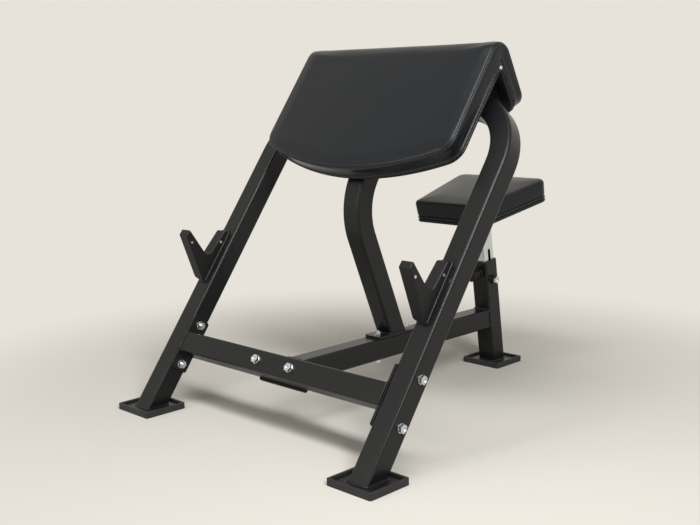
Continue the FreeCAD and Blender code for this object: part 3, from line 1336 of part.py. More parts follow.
# Fasteners
def make_frame_fasteners():
    bolt = master_body("frame_bolt")
    hex_head(bolt, "bolt")
    round_bar(bolt, "bolt_radius", "bolt_length", reverse=True)
    nut = master_body("lock_nut")
    sketch = sketch_on(nut, "XY_Plane")
    hexagon(sketch, "bolt")
    circle(sketch, "path_start", "path_start", "nut_bore")
    pad(nut, sketch, "nut_height", reverse=True)
    collar = sketch_on(nut, "XY_Plane", {"z": "-nut_height"})
    circle(collar, "path_start", "path_start", "nut_collar_radius")
    circle(collar, "path_start", "path_start", "nut_bore")
    pad(nut, collar, "nut_collar", reverse=True)
    washer = make_ring("frame_washer", "washer_radius", "washer_bore", "washer_thickness")
    faces = []
    for along in (places["leg_bolt_low"], places["leg_bolt_high"]):
        outer = places["leg_half"] + tube_half
        faces.append(shifted(leg_frame_place, outer, along, -tube_half, RIGHT_FACE))
        faces.append(shifted(leg_frame_place, -outer, along, -tube_half, LEFT_FACE))
    for sign in (-1, 1):
        faces.append(shifted(leg_frame_place, sign * places["spine_bolt_half"], size["beam_height"], 0))
        faces.append(Placement(Vector(0, post_foot + sign * places["base_half_pitch"], base_top), Rotation()))
    thick = size["washer_thickness"]
    under = bolt_grip - thick
    group("frame_bolts", bolt, [shifted(face, 0, 0, thick) for face in faces])
    group("frame_washers", washer, [shifted(face, 0, 0, out) for face in faces for out in (0, -under)])
    group("lock_nuts", nut, [shifted(face, 0, 0, -under) for face in faces])


def make_pad_fasteners(seat_spots):
    insert = make_ring("board_insert", "insert_radius", "insert_bore", "board_thickness")
    washer = make_ring("small_washer", "small_washer_radius", "small_washer_bore", "washer_thickness")
    turned_over = Rotation(ACROSS, 180)
    half_upper, half_lower = places["upper_bolt_half"], places["lower_bolt_half"]
    upper = [shifted(front_pad_place, sign * half_upper, places["upper_bolt_down"], 0) for sign in (-1, 1)]
    lower = [shifted(front_pad_place, sign * half_lower, places["lower_bolt_down"], 0) for sign in (-1, 1)]
    runs = (
        ("pad_bolts_long", "long_bolt_length", upper, size["tube_side"] + size["pad_rail_height"]),
        ("pad_bolts_short", "short_bolt_length", lower, size["lower_plate"]),
        ("seat_bolts", "seat_bolt_length", seat_spots, size["seat_plate"]),
    )
    washer_spots = {}
    for label, length, spots, grip in runs:
        bolt = master_body(f"{label}_one")
        hex_head(bolt, "small")
        round_bar(bolt, "small_bolt_radius", length, reverse=True)
        seat = -grip - size["washer_thickness"]
        group(label, bolt, [shifted(spot, 0, 0, seat, turned_over) for spot in spots])
        washer_spots[label] = [shifted(spot, 0, 0, seat) for spot in spots]
    group("pad_bolt_washers", washer, washer_spots["pad_bolts_long"] + washer_spots["pad_bolts_short"])
    group("seat_washers", washer, washer_spots["seat_bolts"])
    group("pad_inserts", insert, upper + lower)
    group("seat_inserts", insert, seat_spots)


def main():
    make_leg_frame()
    make_foot("left", -places["leg_half"], front_foot)
    make_foot("right", places["leg_half"], front_foot)
    make_foot("rear", 0, rear_foot)
    make_cross_beam()
    make_spine()
    make_centre_post()
    make_pad_supports()
    blanks = make_boards()
    make_ridge_angle()
    tacks = make_tacks()
    make_arm_cushions(blanks, tacks)
    make_rear_post()
    make_limit_stop()
    make_clamp()
    make_seat_post()
    seat_spots = make_seat()
    make_catches()
    make_frame_fasteners()
    make_pad_fasteners(seat_spots)


main()
doc.recompute()

# Every object must be sound before any file is written
for item in doc.Objects:
    if "Invalid" in item.State or "Error" in item.State:
        raise ValueError(f"{item.Label}: {item.State}")
for piece in parts:
    if piece.Shape.isNull() or not piece.Shape.isValid() or not piece.Shape.Solids:
        raise ValueError(f"{piece.Label}: no sound solid")

os.makedirs("parts", exist_ok=True)
for piece in parts:
    piece.Shape.exportStep(f"parts/{piece.Label}.step")
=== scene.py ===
"""Dresses the preacher curl bench: upholstery, seams, weld beads, finishes and a plain studio."""

import json
import math

import bmesh
import bpy
from mathutils import Matrix, Vector, noise


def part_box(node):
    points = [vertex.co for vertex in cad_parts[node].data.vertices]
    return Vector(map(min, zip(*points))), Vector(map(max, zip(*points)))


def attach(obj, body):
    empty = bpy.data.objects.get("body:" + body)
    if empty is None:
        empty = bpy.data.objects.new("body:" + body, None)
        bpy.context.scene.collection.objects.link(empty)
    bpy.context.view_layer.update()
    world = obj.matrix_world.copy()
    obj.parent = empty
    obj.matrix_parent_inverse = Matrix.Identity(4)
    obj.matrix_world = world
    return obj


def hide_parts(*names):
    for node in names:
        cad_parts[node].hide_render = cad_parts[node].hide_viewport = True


bl_info = {
    "name": "Preacher curl bench",
    "version": (1, 0, 0),
    "blender": (4, 5, 0),
    "location": "3D View > Sidebar > Bench",
    "description": "Upholstery, seams, weld beads, finishes and studio for a preacher curl bench",
    "category": "Object",
}

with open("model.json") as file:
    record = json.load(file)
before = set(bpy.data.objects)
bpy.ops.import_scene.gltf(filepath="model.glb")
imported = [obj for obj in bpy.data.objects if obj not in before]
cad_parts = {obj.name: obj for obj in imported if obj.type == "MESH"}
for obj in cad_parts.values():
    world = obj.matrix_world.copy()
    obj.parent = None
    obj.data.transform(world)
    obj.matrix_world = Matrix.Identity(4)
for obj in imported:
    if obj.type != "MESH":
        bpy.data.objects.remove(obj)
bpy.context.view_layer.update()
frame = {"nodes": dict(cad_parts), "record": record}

# Sizes in this file are in millimetres unless they are properties; meshes are in metres
MM = 0.001

# Slopes in degrees: legs with the arm pad's front, arm pad's rear, rear post, seat, foot of the centre post
LEG_LEAN = 36.0
REAR_PAD_LEAN = 28.5
REAR_POST_LEAN = 8.25
SEAT_TILT = 12.5
CENTRE_POST_LEAN = 22.4

# Arm pad: plan over the ridge, thickness and ridge rounding
PAD_WIDTH = 576.0
FRONT_LENGTH = 290.0
FRONT_EDGE_RADIUS = 700.0
FRONT_CORNER = 46.0
REAR_LENGTH = 110.0
REAR_CORNER = 34.0
PAD_THICKNESS = 52.0
RIDGE_RADIUS = 38.0

# Seat cushion: tapered plan on a frame carried by the leaning rear post
REAR_FOOT = 432.0
SEAT_HEIGHT = 424.0
SEAT_FORWARD = 5.0
SEAT_FRONT_WIDTH = 213.0
SEAT_REAR_WIDTH = 285.0
SEAT_LENGTH = 248.0
SEAT_FRONT_CORNER = 13.0
SEAT_REAR_CORNER = 25.0
SEAT_PLATE = 5.0

# Steelwork: half widths of the tubes, plate, bosses and their heights along the rear post
TUBE_HALF = 25.0
SLIDE_HALF = 20.0
SPINE_PLATE = 6.0
BOSS_RADIUS = 11.0
CLAMP_HEIGHT = 259.0
LIMIT_HEIGHT = 237.0

half_ridge = math.radians((LEG_LEAN + REAR_PAD_LEAN) / 2)
ridge_sweep = math.pi / 2 - half_ridge
ridge_centre = PAD_THICKNESS - RIDGE_RADIUS
ridge_arc = RIDGE_RADIUS * ridge_sweep
ridge_offset = ridge_centre / math.tan(half_ridge)


def linear(hex_colour):
    """Linear RGBA of an sRGB hex colour."""
    channels = [int(hex_colour[start:start + 2], 16) / 255 for start in (1, 3, 5)]
    light = [c / 12.92 if c <= 0.04045 else ((c + 0.055) / 1.055) ** 2.4 for c in channels]
    return (*light, 1.0)


def colour(label, hex_colour, words):
    """A colour setting."""
    return bpy.props.FloatVectorProperty(
        name=label, description=words, default=linear(hex_colour), size=4, min=0, max=1, subtype="COLOR")


def length(label, millimetres, words):
    """A length setting, kept in metres."""
    return bpy.props.FloatProperty(
        name=label, description=words, default=millimetres * MM, min=0, unit="LENGTH", subtype="DISTANCE")


class BenchFinishes(bpy.types.PropertyGroup):
    """Colours of the bench's materials"""
    coat: colour("Powder coat", "#131415", "Body colour of the coated steel")
    # pale tone along every edge of the coat: partly rubbed wear, partly a painted highlight on the rounded
    # corners; the rubber's dust takes the same tone
    pale_wear_dust_and_highlight: colour("Coat edge", "#414245", "Where the coat is thin and rubbed along an edge")
    vinyl: colour("Vinyl", "#13161b", "Body colour of the upholstery")
    vinyl_low: colour("Vinyl grain", "#0e1115", "Bottom of the vinyl's grain")
    thread: colour("Thread", "#303032", "Polyester sewing thread")
    rubber: colour("Rubber", "#141415", "Moulded foot shoes")
    plastic: colour("Plastic", "#101011", "Moulded covers, plugs and knob")
    zinc: colour("Zinc plate", "#c4c8cc", "Bright fasteners")
    chrome: colour("Chrome", "#dcdfe2", "Plated seat post")
    # the boards are drawn near black, with a slightly paler grain tone
    board: colour("Stained board", "#0f0e0d", "Stained plywood under the cushions")
    board_grain: colour("Board grain", "#1d1917", "Grain of the stained plywood")


class BenchUpholstery(bpy.types.PropertyGroup):
    """Sizes of the cushions' making"""
    swell: length("Swell", 2.0, "Most that the stuffing lifts a panel")
    stitch_pitch: length("Stitch pitch", 6.5, "From one stitch to the next")
    thread_radius: length("Thread radius", 0.5, "Half the thickness of the sewing thread")
    staple_pitch: length("Staple pitch", 34.0, "Between staples under the cushions")
    pucker: length("Pucker", 0.45, "Depth of the small hollows along a seam")


class BenchStudio(bpy.types.PropertyGroup):
    """Floor, background and lamps"""
    floor: colour("Floor", "#cdcac3", "Plain studio floor")
    backdrop: colour("Background", "#e7e3da", "Plain studio background")
    key_power: bpy.props.FloatProperty(
        name="Key lamp", description="Power of the large lamp", default=28.0, min=0, unit="POWER")
    top_power: bpy.props.FloatProperty(
        name="Top lamp", description="Power of the overhead lamp", default=52.0, min=0, unit="POWER")
    side_power: bpy.props.FloatProperty(
        name="Side lamp", description="Power of the lamp on the right", default=62.0, min=0, unit="POWER")
    room_light: bpy.props.FloatProperty(
        name="Room light", description="Light that comes from all sides", default=0.33, min=0)
    fade_start: length("Fade start", 550.0, "Where the floor starts to fade into the background")
    fade_end: length("Fade end", 1450.0, "Where the floor has become the background")


# Materials

def add_node(tree, kind, settings=None, values=None, links=None):
    """Adds a node with its settings, socket values and links from other nodes' outputs."""
    node = tree.nodes.new(kind)
    for name, value in (settings or {}).items():
        setattr(node, name, value)
    for socket, value in (values or {}).items():
        node.inputs[socket].default_value = value
    for socket, source in (links or {}).items():
        tree.links.new(source, node.inputs[socket])
    return node


def start_material(name, constants):
    """A new material with constant shader values; gives it, its tree, its shader and a place in space."""
    material = bpy.data.materials.new(name)
    material.use_nodes = True
    tree = material.node_tree
    shader = tree.nodes["Principled BSDF"]
    for socket, value in constants.items():
        shader.inputs[socket].default_value = value
    place = add_node(tree, "ShaderNodeTexCoord").outputs["Object"]
    return material, tree, shader, place


def per_metre(millimetres):
    """Texture scale at which one feature of a pattern has this real size."""
    return 1 / (millimetres * MM)


def noise_of(tree, place, size, detail, distortion=0.0):
    """Noise whose features have this real size in millimetres."""
    values = {"Scale": per_metre(size), "Detail": detail, "Distortion": distortion}
    return add_node(tree, "ShaderNodeTexNoise", values=values, links={"Vector": place}).outputs["Fac"]


def add_bump(tree, shader, pattern, strength, depth):
    """Bumps from a pattern, with a depth in millimetres."""
    bump = add_node(tree, "ShaderNodeBump", values={"Strength": strength, "Distance": depth * MM},
                    links={"Height": pattern})
    tree.links.new(bump.outputs["Normal"], shader.inputs["Normal"])


def add_gloss(tree, shader, pattern, low, high):
    """Roughness that follows a pattern from low to high."""
    gloss = add_node(tree, "ShaderNodeMapRange", values={"To Min": low, "To Max": high},
                     links={"Value": pattern})
    tree.links.new(gloss.outputs["Result"], shader.inputs["Roughness"])


def add_tones(tree, shader, first, second, pattern):
    """Base colour that follows a pattern from the first tone to the second."""
    mixed = add_node(tree, "ShaderNodeMix", {"data_type": "RGBA"}, {6: first, 7: second}, {0: pattern})
    tree.links.new(mixed.outputs[2], shader.inputs["Base Color"])


def powder_coated_steel():
    """Baked satin powder coat: faint orange peel, a soft wide highlight and paler edges, partly rubbed wear
    and partly a painted highlight.
    """
    finish = bpy.context.scene.bench_finishes
    material, tree, shader, place = start_material(
        "satin_black_powder_coat", {"IOR": 1.5, "Specular IOR Level": 0.25})
    # orange peel is about 1 mm across; drawn at 2.2 mm so that it shows
    peel = noise_of(tree, place, size=2.2, detail=2.0)
    add_bump(tree, shader, peel, strength=0.12, depth=0.3)
    cloud = noise_of(tree, place, size=140, detail=4.0)
    add_gloss(tree, shader, cloud, low=0.26, high=0.36)
    # the coat is painted paler along every edge: partly rubbed wear, partly a painted highlight on the
    # corners
    rounded = add_node(tree, "ShaderNodeBevel", {"samples": 4}, {"Radius": 1.6 * MM})
    facing = add_node(tree, "ShaderNodeNewGeometry")
    likeness = add_node(tree, "ShaderNodeVectorMath", {"operation": "DOT_PRODUCT"},
                        links={0: rounded.outputs["Normal"], 1: facing.outputs["Normal"]})
    edge = add_node(tree, "ShaderNodeMapRange",
                    values={"From Min": 0.99, "From Max": 0.80, "To Min": 0.0, "To Max": 0.55},
                    links={"Value": likeness.outputs["Value"]})
    edge_wear_and_highlight = add_node(tree, "ShaderNodeMath", {"operation": "MULTIPLY"},
                      links={0: edge.outputs["Result"], 1: cloud})
    add_tones(tree, shader, finish.coat, finish.pale_wear_dust_and_highlight, edge_wear_and_highlight.outputs["Value"])
    return material


def embossed_vinyl():
    """Calendered upholstery vinyl, embossed with a fine pebble: soft sheen broken up by the grain."""
    finish = bpy.context.scene.bench_finishes
    material, tree, shader, place = start_material(
        "embossed_black_upholstery_vinyl",
        {"IOR": 1.5, "Specular IOR Level": 0.23, "Sheen Weight": 0.02, "Sheen Roughness": 0.4})
    # the pebble is about 0.8 mm across; drawn at 1.8 mm so that it shows
    pebble = add_node(tree, "ShaderNodeTexVoronoi", {"feature": "SMOOTH_F1"},
                      {"Scale": per_metre(1.8), "Smoothness": 0.6}, {"Vector": place}).outputs["Distance"]
    crease = noise_of(tree, place, size=9, detail=5.0)
    height = add_node(tree, "ShaderNodeMath", {"operation": "MULTIPLY_ADD"}, {1: 0.5}, {0: pebble, 2: crease})
    add_bump(tree, shader, height.outputs["Value"], strength=0.09, depth=0.35)
    handled = noise_of(tree, place, size=110, detail=3.0)
    add_gloss(tree, shader, handled, low=0.25, high=0.35)
    add_tones(tree, shader, finish.vinyl, finish.vinyl_low, pebble)
    return material


def sewing_thread():
    """Twisted polyester thread: matte, with light and dark along the twist."""
    finish = bpy.context.scene.bench_finishes
    material, tree, shader, place = start_material(
        "black_polyester_thread", {"IOR": 1.55, "Roughness": 0.6, "Sheen Weight": 0.2})
    twist = noise_of(tree, place, size=1.5, detail=2.0)
    add_tones(tree, shader, finish.thread, finish.vinyl_low, twist)
    return material


def moulded_rubber():
    """Moulded black rubber: dull, slightly dusty, with a fine grainy skin."""
    finish = bpy.context.scene.bench_finishes
    material, tree, shader, place = start_material("moulded_black_rubber", {"IOR": 1.52})
    grain = noise_of(tree, place, size=1.6, detail=4.0)
    add_bump(tree, shader, grain, strength=0.25, depth=0.3)
    dust = noise_of(tree, place, size=35, detail=5.0)
    add_gloss(tree, shader, dust, low=0.60, high=0.80)
    dusty = add_node(tree, "ShaderNodeMapRange", values={"From Min": 0.45, "From Max": 0.9, "To Max": 0.35},
                     links={"Value": dust})
    add_tones(tree, shader, finish.rubber, finish.pale_wear_dust_and_highlight, dusty.outputs["Result"])
    return material


def moulded_plastic():
    """Injection-moulded nylon with a spark-eroded skin: an even fine stipple and a dull wide highlight."""
    finish = bpy.context.scene.bench_finishes
    material, tree, shader, place = start_material(
        "spark_textured_black_nylon", {"IOR": 1.53, "Specular IOR Level": 0.22})
    # the stipple is about 0.3 mm; drawn at 1.1 mm so that it shows
    stipple = add_node(tree, "ShaderNodeTexVoronoi", values={"Scale": per_metre(1.1)},
                       links={"Vector": place})
    add_bump(tree, shader, stipple.outputs["Distance"], strength=0.22, depth=0.2)
    flow = noise_of(tree, place, size=60, detail=3.0)
    add_gloss(tree, shader, flow, low=0.36, high=0.48)
    add_tones(tree, shader, finish.plastic, finish.coat, flow)
    return material


def zinc_plated_steel():
    """Bright zinc plate on cold-headed steel: silvery, slightly cloudy, with fine tool marks."""
    finish = bpy.context.scene.bench_finishes
    material, tree, shader, place = start_material("bright_zinc_plated_steel", {"Metallic": 1.0})
    cloud = noise_of(tree, place, size=4, detail=4.0)
    add_gloss(tree, shader, cloud, low=0.18, high=0.36)
    marks = noise_of(tree, place, size=0.9, detail=2.0)
    add_bump(tree, shader, marks, strength=0.10, depth=0.1)
    add_tones(tree, shader, finish.zinc, finish.chrome, cloud)
    return material


def chrome_plate():
    """Chrome on drawn tube: mirror bright, with fine rub marks along the slide."""
    finish = bpy.context.scene.bench_finishes
    material, tree, shader, place = start_material("polished_chrome_plate", {"Metallic": 1.0})
    along = add_node(tree, "ShaderNodeMapping", values={"Scale": (1.0, 1.0, 0.03)}, links={"Vector": place})
    rubs = noise_of(tree, along.outputs["Vector"], size=1.5, detail=3.0)
    add_gloss(tree, shader, rubs, low=0.05, high=0.20)
    add_tones(tree, shader, finish.chrome, finish.zinc, rubs)
    return material


def near_black_plywood():
    """Birch plywood drawn near black: matte, with the grain showing through along its length."""
    finish = bpy.context.scene.bench_finishes
    material, tree, shader, place = start_material("black_stained_birch_plywood", {"IOR": 1.5})
    along = add_node(tree, "ShaderNodeMapping", values={"Scale": (0.08, 1.0, 1.0)}, links={"Vector": place})
    grain = noise_of(tree, along.outputs["Vector"], size=5, detail=6.0, distortion=0.6)
    add_bump(tree, shader, grain, strength=0.2, depth=0.3)
    add_gloss(tree, shader, grain, low=0.55, high=0.75)
    add_tones(tree, shader, finish.board, finish.board_grain, grain)
    return material


def dress(obj, material):
    """Gives an object one material."""
    obj.data.materials.clear()
    obj.data.materials.append(material)


def dress_slot(slot_name, material):
    """Gives a material to every CAD node of a slot in the record."""
    for part in frame["record"]["subparts"]:
        if part["material_slot"] == slot_name:
            dress(frame["nodes"][part["node"]], material)


# Meshes

def new_mesh(name, points, faces, smooth=True):
    """A mesh object from points in millimetres, with its faces turned outwards."""
    mesh = bpy.data.meshes.new(name)
    mesh.from_pydata([Vector(point) * MM for point in points], [], faces)
    mesh.validate()
    shell = bmesh.new()
    shell.from_mesh(mesh)
    bmesh.ops.recalc_face_normals(shell, faces=shell.faces)
    shell.to_mesh(mesh)
    shell.free()
    for polygon in mesh.polygons:
        polygon.use_smooth = smooth
    obj = bpy.data.objects.new(name, mesh)
    bpy.context.scene.collection.objects.link(obj)
    return obj


def spread(first, last, count):
    """Even steps from first up to, and not including, last."""
    return [first + (last - first) * step / count for step in range(count)]


def arc(centre, radius, first, last, count):
    """Points on an arc, without its last one."""
    return [(centre[0] + radius * math.cos(angle), centre[1] + radius * math.sin(angle))
            for angle in spread(first, last, count)]


# Steps round a corner of a plan, and the least share of its radius that an inset leaves
CORNER_STEPS = 8
CORNER_KEPT = 0.25


def four_sides(corners, runs):
    """A closed plan as four lists of points that start at the middles of its corners.

    Each corner is (centre, radius, first angle, last angle), and each run holds the points between
    one corner's end and the next one's start.
    """
    sides = []
    for index, run in enumerate(runs):
        here, after = corners[index], corners[(index + 1) % len(corners)]
        middle_here = (here[2] + here[3]) / 2
        middle_after = (after[2] + after[3]) / 2
        side = arc(here[0], here[1], middle_here, here[3], CORNER_STEPS // 2)
        side += run
        side += arc(after[0], after[1], after[2], middle_after, CORNER_STEPS // 2)
        sides.append(side)
    return sides


# Steps along the arm pad's plan: across its ends, over the ridge, and down the front and the rear
EDGE_STEPS = 40
RIDGE_STEPS = 12
FRONT_STEPS = 20
REAR_STEPS = 6


def arm_pad_plan(inset):
    """The arm pad unrolled over its ridge: across, and forward of the ridge's middle."""
    wide = PAD_WIDTH / 2 - inset
    start = ridge_arc + ridge_offset
    corner = max(FRONT_CORNER - inset, FRONT_CORNER * CORNER_KEPT)
    edge = FRONT_EDGE_RADIUS - inset
    edge_centre = start + FRONT_LENGTH - FRONT_EDGE_RADIUS
    corner_x = wide - corner
    corner_y = edge_centre + math.sqrt((edge - corner) ** 2 - corner_x ** 2)
    turn = math.atan2(corner_y - edge_centre, corner_x)
    rear_corner = max(REAR_CORNER - inset, REAR_CORNER * CORNER_KEPT)
    rear_x = wide - rear_corner
    rear_y = -(start + REAR_LENGTH - inset - rear_corner)
    corners = [
        ((corner_x, corner_y), corner, 0, turn),
        ((-corner_x, corner_y), corner, math.pi - turn, math.pi),
        ((-rear_x, rear_y), rear_corner, math.pi, 1.5 * math.pi),
        ((rear_x, rear_y), rear_corner, 1.5 * math.pi, 2 * math.pi),
    ]
    stations = spread(corner_y, ridge_arc, FRONT_STEPS) + spread(ridge_arc, -ridge_arc, RIDGE_STEPS)
    stations += spread(-ridge_arc, rear_y, REAR_STEPS) + [rear_y]
    runs = [
        arc((0, edge_centre), edge, turn, math.pi - turn, EDGE_STEPS),
        [(-wide, along) for along in stations[:-1]],
        [(across, rear_y - rear_corner) for across in spread(-rear_x, rear_x, EDGE_STEPS)],
        [(wide, along) for along in reversed(stations[1:])],
    ]
    return four_sides(corners, runs)


# Arm pad beside its ridge: run over which its layers settle, radius of a tight fold, drawing in of low seams
SETTLE = 60.0
TIGHT_FOLD = 1.5
PINCH_HEIGHT = 24.0
PINCH = 0.6
angle_points = [vertex.co for vertex in frame["nodes"]["apex_angle"].data.vertices]
ridge_point = max(angle_points, key=lambda point: point.z) / MM


def over_ridge(across, forward, height):
    """Place on the bench of a point of the unrolled arm pad, at a height above the boards' undersides."""
    lean = math.radians(LEG_LEAN if forward >= 0 else REAR_PAD_LEAN)
    way = -1 if forward >= 0 else 1
    down = Vector((0, way * math.sin(lean), -math.cos(lean)))
    out = Vector((0, way * math.cos(lean), math.sin(lean)))
    run = abs(forward)
    share = min(max(run - ridge_arc, 0) / SETTLE, 1)
    ease = 1 - share * share * (3 - 2 * share)
    if 0 < height < PINCH_HEIGHT:
        # the lower seams draw together where the cover folds at the inner ridge
        height *= 1 - PINCH * ease * (1 - height / PINCH_HEIGHT)
    centre_out = min(ridge_centre, height - TIGHT_FOLD)
    centre_down = -centre_out / math.tan(half_ridge)
    radius = height - centre_out
    if run <= ridge_arc:
        angle = ridge_sweep * (1 - run / ridge_arc)
        y = centre_down - radius * math.sin(angle)
        z = centre_out + radius * math.cos(angle)
    else:
        y = -ridge_offset + run - ridge_arc + (centre_down + ridge_offset) * ease
        z = height
    return Vector((across, ridge_point.y, ridge_point.z)) + down * y + out * z


# The seat's own frame, up the leaning rear post and tilted
seat_frame = (
    Matrix.Translation((0, REAR_FOOT, 0))
    @ Matrix.Rotation(math.radians(REAR_POST_LEAN), 4, "X")
    @ Matrix.Translation((0, 0, SEAT_HEIGHT))
    @ Matrix.Rotation(math.radians(SEAT_TILT - REAR_POST_LEAN), 4, "X")
)

# Steps along each side of the seat's plan
SIDE_STEPS = 26


def seat_plan(inset):
    """The seat's tapered plan: across and back from its middle."""
    taper = math.atan2((SEAT_REAR_WIDTH - SEAT_FRONT_WIDTH) / 2, SEAT_LENGTH)
    half = SEAT_LENGTH / 2

    def corner(width, radius, end):
        round_off = max(radius - inset, radius * CORNER_KEPT)
        depth = half - inset - round_off
        narrowing = (end * depth - end * half) * math.tan(taper)
        side_x = width / 2 + narrowing - (inset + round_off) / math.cos(taper)
        return side_x, end * depth, round_off

    front_x, front_y, front_r = corner(SEAT_FRONT_WIDTH, SEAT_FRONT_CORNER, -1)
    rear_x, rear_y, rear_r = corner(SEAT_REAR_WIDTH, SEAT_REAR_CORNER, 1)
    corners = [
        ((rear_x, rear_y), rear_r, -taper, math.pi / 2),
        ((-rear_x, rear_y), rear_r, math.pi / 2, math.pi + taper),
        ((-front_x, front_y), front_r, math.pi + taper, 1.5 * math.pi),
        ((front_x, front_y), front_r, 1.5 * math.pi, 2 * math.pi - taper),
    ]
    ends = []
    for centre, radius, first, last in corners:
        ends.append([(centre[0] + radius * math.cos(angle), centre[1] + radius * math.sin(angle))
                     for angle in (first, last)])
    runs = []
    for index, (_, start) in enumerate(ends):
        end = ends[(index + 1) % len(ends)][0]
        runs.append([(start[0] + (end[0] - start[0]) * share, start[1] + (end[1] - start[1]) * share)
                     for share in spread(0, 1, SIDE_STEPS)])
    return four_sides(corners, runs)


def on_seat(across, back, height):
    """Place on the bench of a point of the seat cushion, above the seat board's underside."""
    return seat_frame @ Vector((across, back - SEAT_FORWARD, height))


# Cushion profiles from the underside's flap up: inset from the plan, height, and what holds the cover there
PAD_PROFILE = [
    (30.0, 1.5, "held"), (29.0, -0.9, "held"), (20.0, -0.9, "held"), (10.0, -0.9, "held"),
    (5.0, -0.6, "held"), (2.0, 0.5, "held"), (0.5, 2.4, "held"), (0.0, 4.6, "held"), (0.3, 6.8, "held"),
    (4.5, 8.2, "seam"), (0.5, 9.6, "held"), (-0.2, 11.8, "held"), (0.5, 14.0, "held"), (4.5, 15.4, "seam"),
    (0.7, 17.0, "held"), (1.4, 21.0, "free"), (1.9, 26.0, "free"), (1.9, 31.0, "free"), (1.3, 35.0, "free"),
    (0.5, 40.4, "held"), (0.6, 44.0, "held"), (1.2, 46.2, "held"), (2.8, 47.6, "held"), (4.8, 47.1, "seam"),
    (4.6, 48.0, "held"), (5.5, 48.8, "held"), (7.4, 49.7, "held"), (10.4, 50.4, "free"), (15.0, 51.3, "free"),
    (21.0, 51.9, "free"), (28.0, 52.1, "free"), (36.0, 52.0, "free"), (45.0, 51.7, "free"),
]
SEAT_PROFILE = [
    (34.0, 1.5, "held"), (33.0, -0.9, "held"), (24.0, -0.9, "held"), (14.0, -0.9, "held"),
    (7.0, -0.6, "held"), (3.4, 0.4, "held"), (1.8, 2.2, "held"), (1.1, 4.8, "held"), (1.4, 7.6, "held"),
    (5.2, 9.4, "seam"), (1.8, 11.0, "held"), (1.4, 13.0, "held"), (1.8, 15.0, "held"), (5.2, 16.6, "seam"),
    (1.8, 18.2, "held"), (1.4, 24.0, "free"), (1.0, 31.0, "free"), (0.6, 38.0, "free"), (0.2, 45.0, "free"),
    (0.0, 48.5, "held"), (0.5, 51.8, "held"), (1.7, 54.4, "held"), (4.0, 56.6, "held"), (7.6, 58.2, "held"),
    (13.0, 59.2, "free"), (21.0, 59.9, "free"), (32.0, 60.4, "free"), (44.0, 60.7, "free"),
]
PAD_TOP = 51.5
SEAT_TOP = 60.8
# Lengths of the small hollows along the seams and of the waves of the top
PUCKER_LENGTH = 24.0
TOP_WAVE = 96.0


def make_cushion(name, plan, place, profile, top, pucker):
    """A cover of rings up from the flap under the board and a crowned top. Gives it and its held points."""
    points, faces, held = [], [], []
    rings = []
    for row, (inset, height, hold) in enumerate(profile):
        sides = plan(inset)
        ring = []
        # the last ring takes the long, shallow waves of the top that it borders
        wave_length = TOP_WAVE if row == len(profile) - 1 else PUCKER_LENGTH
        for across, along in (spot for side in sides for spot in side):
            ring.append(len(points))
            wave = noise.noise(Vector((across, along, height)) / wave_length) if hold == "free" else 0
            if hold != "free":
                held.append(len(points))
            points.append(place(across, along, height + wave * pucker))
        rings.append(ring)
    count = len(rings[0])
    for lower, upper in zip(rings, rings[1:]):
        for index in range(count):
            after = (index + 1) % count
            faces.append((lower[index], lower[after], upper[after], upper[index]))
    # the top is a grid drawn between the four sides of the last ring
    sides = plan(profile[-1][0])
    starts = [sum(len(side) for side in sides[:index]) for index in range(len(sides))]
    rows, columns = len(sides[1]), len(sides[0])
    flat = [spot for side in sides for spot in side]
    front = [flat[index] for index in range(columns + 1)]
    left = [flat[(starts[1] + index) % count] for index in range(rows + 1)]
    rear = [flat[(starts[2] + columns - index) % count] for index in range(columns + 1)]
    right = [flat[(starts[3] + rows - index) % count] for index in range(rows + 1)]
    grid = {}
    for row in range(rows + 1):
        for column in range(columns + 1):
            if row == 0:
                grid[row, column] = rings[-1][column]
            elif row == rows:
                grid[row, column] = rings[-1][(starts[2] + columns - column) % count]
            elif column == columns:
                grid[row, column] = rings[-1][(starts[1] + row) % count]
            elif column == 0:
                grid[row, column] = rings[-1][(starts[3] + rows - row) % count]
            else:
                u, v = column / columns, row / rows
                spot = []
                for axis in (0, 1):
                    edges = (1 - v) * front[column][axis] + v * rear[column][axis]
                    edges += (1 - u) * right[row][axis] + u * left[row][axis]
                    ends = (1 - u) * (1 - v) * front[0][axis] + u * (1 - v) * front[-1][axis]
                    ends += (1 - u) * v * rear[0][axis] + u * v * rear[-1][axis]
                    spot.append(edges - ends)
                wave = noise.noise(Vector((spot[0], spot[1], top)) / TOP_WAVE)
                grid[row, column] = len(points)
                points.append(place(spot[0], spot[1], top + wave * pucker))
    for row in range(rows):
        for column in range(columns):
            faces.append((grid[row, column], grid[row, column + 1],
                          grid[row + 1, column + 1], grid[row + 1, column]))
    return new_mesh(name, points, faces), held


CLOTH_FRAMES = 20
CLOTH_SETTINGS = {
    "quality": 6, "mass": 0.4, "tension_stiffness": 20, "compression_stiffness": 20, "shear_stiffness": 8,
    "bending_stiffness": 2, "use_pressure": True, "uniform_pressure_force": 4,
}


